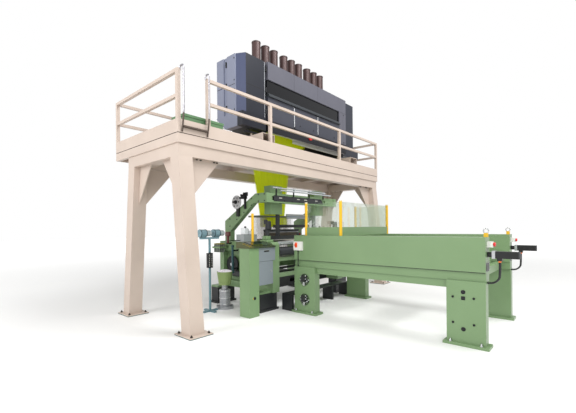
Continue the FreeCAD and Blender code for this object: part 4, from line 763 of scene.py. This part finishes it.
coat(painted("yellow_posts_with_steel_eyes", yellow, 0.4, 7, zones=[
    ((-1.1, -3.0, ring_low_z), (1.1, -2.8, 1.8), (188, 190, 192), 0.25, 0.9),
    ((-1.2, -1.0, 2.178), (1.2, 1.2, 2.21), (214, 206, 180), 0.5, 0.0)]), "posts_and_eyes")
coat(painted("motor_black_with_bright_flange", (10, 10, 12), 0.38, 3, zones=[
    ((-1.1, -3.006, 1.2), (1.1, -2.966, 1.4), (186, 188, 190), 0.3, 0.7),
    ((-1.1, -3.3, 1.2), (1.1, -3.27, 1.36), (38, 38, 42), 0.5, 0.0)]), "servo_motors")
coat(painted("switch_box_white", (222, 222, 216), 0.4, 5, zones=[
    ((-1.13, 0.395, 1.30), (-1.115, 0.455, 1.40), (236, 96, 34), 0.4, 0.0)]), "switch_boxes")
coat(painted("mushroom_red", (206, 30, 26), 0.3, 4), "bench_stop_left", "bench_stop_right")
coat(painted("knob_orange_red", (226, 70, 24), 0.35, 4), "switch_knob")
coat(painted("air_fittings_black", (30, 31, 33), 0.4, 6, zones=[
    ((-1.13, 0.2, 0.1), (-1.07, 0.3, 0.241), (170, 172, 172), 0.25, 0.8),
    ((-1.13, 0.2, 0.56), (-1.07, 0.3, 0.631), (170, 172, 172), 0.25, 0.8)]), "air_valves")

# ---- Operator console ----
# A folded green post and a blue-grey cabinet with a door and a drawer carry a slanted desk with
# three round keys and a dark display, beside the loom's front corner.
door_grey = (122, 130, 136)
console_low, console_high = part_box("console_body")
coat(painted("console_green_and_grey", (116, 144, 102), 0.36, 6, zones=[
    ((-1.779, console_low.y - 0.01, 0.57), (-1.38, console_high.y + 0.01, 1.32), door_grey, 0.42, 0.0)]),
    "console_body")
coat(painted("door_blue_grey", door_grey, 0.42, 5), "console_door", "console_drawer")
coat(painted("desk_dark_green", (50, 60, 46), 0.3, 5, zones=[
    ((-2.06, 0.77, 1.3), (-1.93, 1.2, 1.45), (74, 78, 44), 0.45, 0.0)]), "console_desk")
coat(painted("key_charcoal", (30, 30, 32), 0.35, 4), "console_key_1", "console_key_2", "console_key_3")

# ---- Weft side ----
# Two weft feeders stand on a teal post with their power box. Below, a bin and a canister vacuum
# take the waste ends of yarn.
coat(painted("feeder_pale_blue", (116, 146, 156), 0.35, 8, zones=[
    ((-2.6, 1.5, -0.01), (-1.7, 2.2, 1.479), (96, 128, 136), 0.4, 0.2),
    ((-2.3, 1.6, 0.89), (-2.1, 1.852, 1.21), (26, 26, 28), 0.5, 0.0)]), "weft_feeders")
vacuum_low, vacuum_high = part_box("waste_vacuum")
coat(painted("bin_green_and_canister_grey", (158, 160, 164), 0.3, 8, metal=0.5, zones=[
    ((vacuum_low.x, vacuum_low.y, 0.5005), (vacuum_high.x, vacuum_high.y, 0.79), (126, 146, 90), 0.5, 0.0)]),
    "waste_vacuum")

# ---- Bench hardware ----
# The bench's legs stand on anchor bolts through their base lips, and their covers are held by
# black cap screws. A conduit drops from the switch box; painted shadow darkens the box beam's foot.
beam_out = 1.07
end_leg = -2.62
end_face = -2.9055
lip_top = 0.04
bench_anchors = grid_spots((-1.092, 1.092), (-2.85, -2.45, 0.06, 0.46), [lip_top])
bright = painted("zinc_plated_steel", (206, 208, 210), 0.25, 6, metal=0.8)
lofts("bench_anchor_washers", turned(bench_anchors, (0, 0, 1), [(0, 0.020), (0.003, 0.020)], 20), bright)
lofts("bench_anchor_nuts", hex_heads(bench_anchors + (0, 0, 0.003), (0, 0, 1), 0.030, 0.018), bright)
anchor_stud = [(-0.03, 0.010), (0.042, 0.010), (0.045, 0.007)]
lofts("bench_anchor_studs", turned(bench_anchors, (0, 0, 1), anchor_stud, 12), bright)
cap_screw = [(0, 0.016), (0.010, 0.016), (0.012, 0.014), (0.012, 0.009), (0.006, 0.008)]
cover_boss = [(0, 0.030), (0.004, 0.030), (0.006, 0.024), (0.012, 0.024), (0.013, 0.010)]
socket_half = np.array((0.008, 0.026, 0.026))
for side, name in ((-1, "left"), (1, "right")):
    face = side * beam_out
    corners = [(face, end_leg + shift, z) for shift in (-0.137, 0.137) for z in (0.316, 0.684)]
    lofts(f"leg_cap_screws_{name}", turned(corners, (side, 0, 0), cap_screw, 14), screw_black)
    bosses = [(face, end_leg, z) for z in (0.235, 0.761)]
    lofts(f"leg_bosses_{name}", turned(bosses, (side, 0, 0), cover_boss, 28), screw_black)
    socket = np.array((face, end_leg, 0.674))
    lofts(f"leg_socket_{name}", blocks(socket - socket_half, socket + socket_half, 0.003), screw_black)
    # A thin black strip along each beam's foot is painted shadow under the box's overhang.
    lofts(f"beam_foot_painted_shadow_{name}", blocks([(face - 0.002, -2.903, 1.046)], [(face + 0.002, 0.513, 1.053)],
                                           0.0005), joint_dark)
panel_x, panel_z = 0.945, 1.125
end_panels = np.array([(side * panel_x, end_face, panel_z) for side in (-1, 1)])
lofts("beam_end_panels", blocks(end_panels - (0.09, 0.004, 0.06), end_panels + (0.09, 0.001, 0.06), 0.002),
      machine_black)
panel_screws = [(x + dx, end_face - 0.004, panel_z + dz) for x in (-panel_x, panel_x)
                for dx in (-0.078, 0.078) for dz in (-0.048, 0.048)]
lofts("beam_end_screws", turned(panel_screws, (0, -1, 0), [(0, 0.007), (0.003, 0.006), (0.004, 0.003)], 10),
      bright)

conduit_x, conduit_y = -1.079, 0.41
lofts("switch_conduit", turned([(conduit_x, conduit_y, 0.93)], (0, 0, 1), [(0, 0.008), (0.316, 0.008)], 14),
      hose_black)
gland = [(0, 0.010), (0.004, 0.013), (0.026, 0.013), (0.030, 0.010)]
lofts("conduit_glands", turned([(conduit_x, conduit_y, z) for z in (1.215, 0.925)], (0, 0, 1), gland, 8),
      screw_black)
lofts("switch_box_screws", turned(grid_spots([-1.12], (0.297, 0.483), (1.257, 1.408)), (-1, 0, 0),
                                  [(0, 0.006), (0.003, 0.005), (0.004, 0.002)], 10), bright)
sensor = np.array([(0.985, 0.47, 1.57), (-0.985, 0.47, 1.57)])
sensor_half = np.array((0.03, 0.035, 0.03))
lens = [(0, 0.014), (0.006, 0.014), (0.008, 0.010)]
lofts("cloth_edge_sensors", blocks(sensor - sensor_half, sensor + sensor_half, 0.006), machine_black)
lofts("sensor_lenses", turned(sensor + (0, -0.035, 0), (0, -1, 0), lens, 16),
      painted("sensor_lens_red", (140, 24, 20), 0.15, 3))

# Each air valve has push-in fittings all round, and two closed rings of black nylon tube that are
# clipped to the leg.
valve_centres = [(-beam_out, 0.25, z) for z in (0.28, 0.67)]
fit_angle = 2 * math.pi * np.arange(9) / 9
valve_spots = [(x - 0.03, y + reach * math.cos(a), z + reach * math.sin(a)) for x, y, z in valve_centres
               for a, reach in zip(fit_angle, (0.055, 0.085) * 5)]
lofts("valve_fittings", turned(valve_spots, (-1, 0, 0), [(-0.03, 0.014), (0.010, 0.014), (0.012, 0.010),
                                                         (0.026, 0.010)], 12), bright)
lofts("valve_fitting_nuts", turned([(x - 0.002, y, z) for x, y, z in valve_spots], (-1, 0, 0),
                                   [(-0.028, 0.020), (-0.004, 0.020)], 6), screw_black)
tube_angle = 2 * math.pi * np.arange(8) / 8
tube_radius = 0.006
outer_loop = 0.105
for name, loop_radius, loop_out in (("outer", outer_loop, 0.014), ("inner", 0.070, 0.030)):
    loop = [(loop_out + tube_radius * math.cos(a), loop_radius + tube_radius * math.sin(a))
            for a in tube_angle]
    hoops(f"valve_tubes_{name}", valve_centres, (-1, 0, 0), loop, hose_black)
clip_spots = np.array([(x - 0.012, y + outer_loop * dy, z + outer_loop * dz) for x, y, z in valve_centres
                       for dy, dz in ((1, 0), (-1, 0), (0, -1))])
lofts("valve_tube_clips", blocks(clip_spots - 0.012, clip_spots + (0.013, 0.012, 0.012), 0.003), bright)
collar_spots = [(x, hose_runs[0][0], 1.196) for x in sorted(hose_places.values())]
lofts("plug_collars", turned(collar_spots, (0, 0, 1), [(0, 0.0145), (0.004, 0.018), (0.022, 0.018)], 20),
      painted("plug_collar_orange", (222, 110, 40), 0.4, 6))

# ---- Clamp carriage hardware ----
# A row of black cap screws holds the steel jaw that grips the cloth's end down on the carriage's
# cross beam. They travel with the carriage.
car_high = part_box("clamp_carriage")[1]
jaw_screw = [(0, 0.009), (0.007, 0.009), (0.008, 0.008), (0.008, 0.005)]
jaw_screws = grid_spots(np.linspace(-0.54, 0.54, 10), [car_high.y - 0.06], [car_high.z])
lofts("jaw_screws", turned(jaw_screws, (0, 0, 1), jaw_screw, 12), screw_black, "carriage")

# ---- Console and weft-side hardware ----
# The console's post has a dark inlet hole of painted shade, its drawer a recessed pull darkened with
# painted shade and its desk a framed glass display. The bin is full of white yarn waste, and the
# canister has clamp rings.
key_low, key_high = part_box("console_key_1")
last_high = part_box("console_key_3")[1]
slope = (last_high.z - key_high.z) / (last_high.y - key_high.y)
key_stands_in = 0.0245


def on_desk(x, y, rise):
    """A point that far above the desk's slanting face, whose height the keys' stems give."""
    return x, y, key_low.z + key_stands_in + slope * (y - (key_low.y + key_high.y) / 2) + rise


def desk_plate(name, x_range, y_range, low, high, finish):
    """A plate that lies on the slanting desk between two rises."""
    rings = [[on_desk(x, y, rise) for x, y in ((x_range[0], y_range[0]), (x_range[1], y_range[0]),
                                               (x_range[1], y_range[1]), (x_range[0], y_range[1]))]
             for rise in (low, high)]
    return lofts(name, [rings], finish)


desk_plate("display_frame", (-1.88, -1.44), (0.83, 1.12), 0.0, 0.004, screw_black)
desk_plate("display_glass", (-1.86, -1.46), (0.85, 1.10), 0.004, 0.0055,
           painted("display_glass_green", (24, 40, 34), 0.08, 3, 0.00003))
key_spots = [on_desk((key_low.x + key_high.x) / 2, y, 0.0) for y in (0.855, 0.935, 1.015)]
key_collar = [(-0.004, 0.0205), (-0.004, 0.027), (0.004, 0.027), (0.007, 0.0205)]
hoops("key_collars", key_spots, (0, 0, 1), key_collar,
      painted("key_collar_ochre", (158, 132, 44), 0.4, 8), around=28)
# The pull's recess is a dark block of painted shade.
lofts("drawer_pull", blocks([(-1.64, 0.8035, 1.225)], [(-1.50, 0.809, 1.255)], 0.002), joint_dark,
      "drawer")
lofts("drawer_pull_lip", blocks([(-1.645, 0.799, 1.252)], [(-1.495, 0.809, 1.258)], 0.001), bright,
      "drawer")
lock_face = [(0, 0.014), (0.004, 0.014), (0.006, 0.010)]
lofts("door_lock", turned([(-1.44, 0.8085, 0.84)], (0, -1, 0), lock_face, 20), bright,
      "cabinet_door")
inlet = [(0, 0.030), (0.008, 0.030), (0.010, 0.026), (0.010, 0.018), (0.004, 0.017)]
# The inlet's hole is a dark disc of painted shade.
lofts("post_inlet", turned([(-1.90, 0.8055, 0.36)], (0, -1, 0), inlet, 28), joint_dark)
lofts("post_inlet_mark", blocks([(-1.945, 0.803, 0.34)], [(-1.933, 0.8055, 0.38)], 0.0005),
      painted("inlet_mark_yellow", (206, 180, 48), 0.5, 5))

vac_x, vac_y = (vacuum_low.x + vacuum_high.x) / 2, (vacuum_low.y + vacuum_high.y) / 2
tuft_angle = np.linspace(0, 2 * math.pi, 40, endpoint=False)
tuft_levels = [(0.700, 0.140), (0.760, 0.152), (0.785, 0.140), (0.802, 0.105), (0.812, 0.060), (0.815, 0.012)]
waste = np.array([[(vac_x + radius * math.cos(a), vac_y + radius * math.sin(a), z) for a in tuft_angle]
                  for z, radius in tuft_levels])
waste[2:] += chance.uniform(-0.008, 0.008, waste[2:].shape)
lofts("yarn_waste", [waste], painted("waste_yarn_white", (214, 208, 216), 0.9, 22, 0.002))
clamp_ring = [(0, 0.112), (0, 0.118), (0.018, 0.118), (0.018, 0.112)]
hoops("canister_rings", [(vac_x, vac_y, z) for z in (0.09, 0.22, 0.37)], (0, 0, 1), clamp_ring, bright)

# The feeders' joints, their wound drums and the yarn guides at their noses, and the power box's
# white lamps on the stand.
feeder_x, feeder_z = (-2.33, -2.0), 1.6
feeder_rim = [(0, 0.0785), (0, 0.081), (0.012, 0.081), (0.012, 0.0785)]
feeder_ends = [(x + shift, vac_y, feeder_z) for x in feeder_x for shift in (-0.07, 0.058)]
hoops("feeder_seams", feeder_ends, (1, 0, 0), feeder_rim, screw_black)
drum_rims = [(x + 0.075 + shift, vac_y, feeder_z) for x in feeder_x for shift in (0.02, 0.045, 0.07, 0.092)]
hoops("drum_windings", drum_rims, (1, 0, 0), [(0, 0.0582), (0, 0.0605), (0.009, 0.0605), (0.009, 0.0582)],
      painted("wound_weft_yarn", (206, 204, 198), 0.85, 6))
lofts("feeder_guides", turned([(x + 0.19, vac_y, feeder_z) for x in feeder_x], (1, 0, 0),
                              [(-0.006, 0.03), (0.004, 0.03), (0.008, 0.022)], 24), screw_black)
box_face = grid_spots((-2.225, -2.165), [1.779], np.linspace(0.94, 1.16, 7))
lofts("power_box_lamps", turned(box_face, (0, -1, 0), [(0, 0.007), (0.003, 0.007), (0.005, 0.004)], 12),
      painted("lamp_white", (226, 226, 220), 0.4, 4))
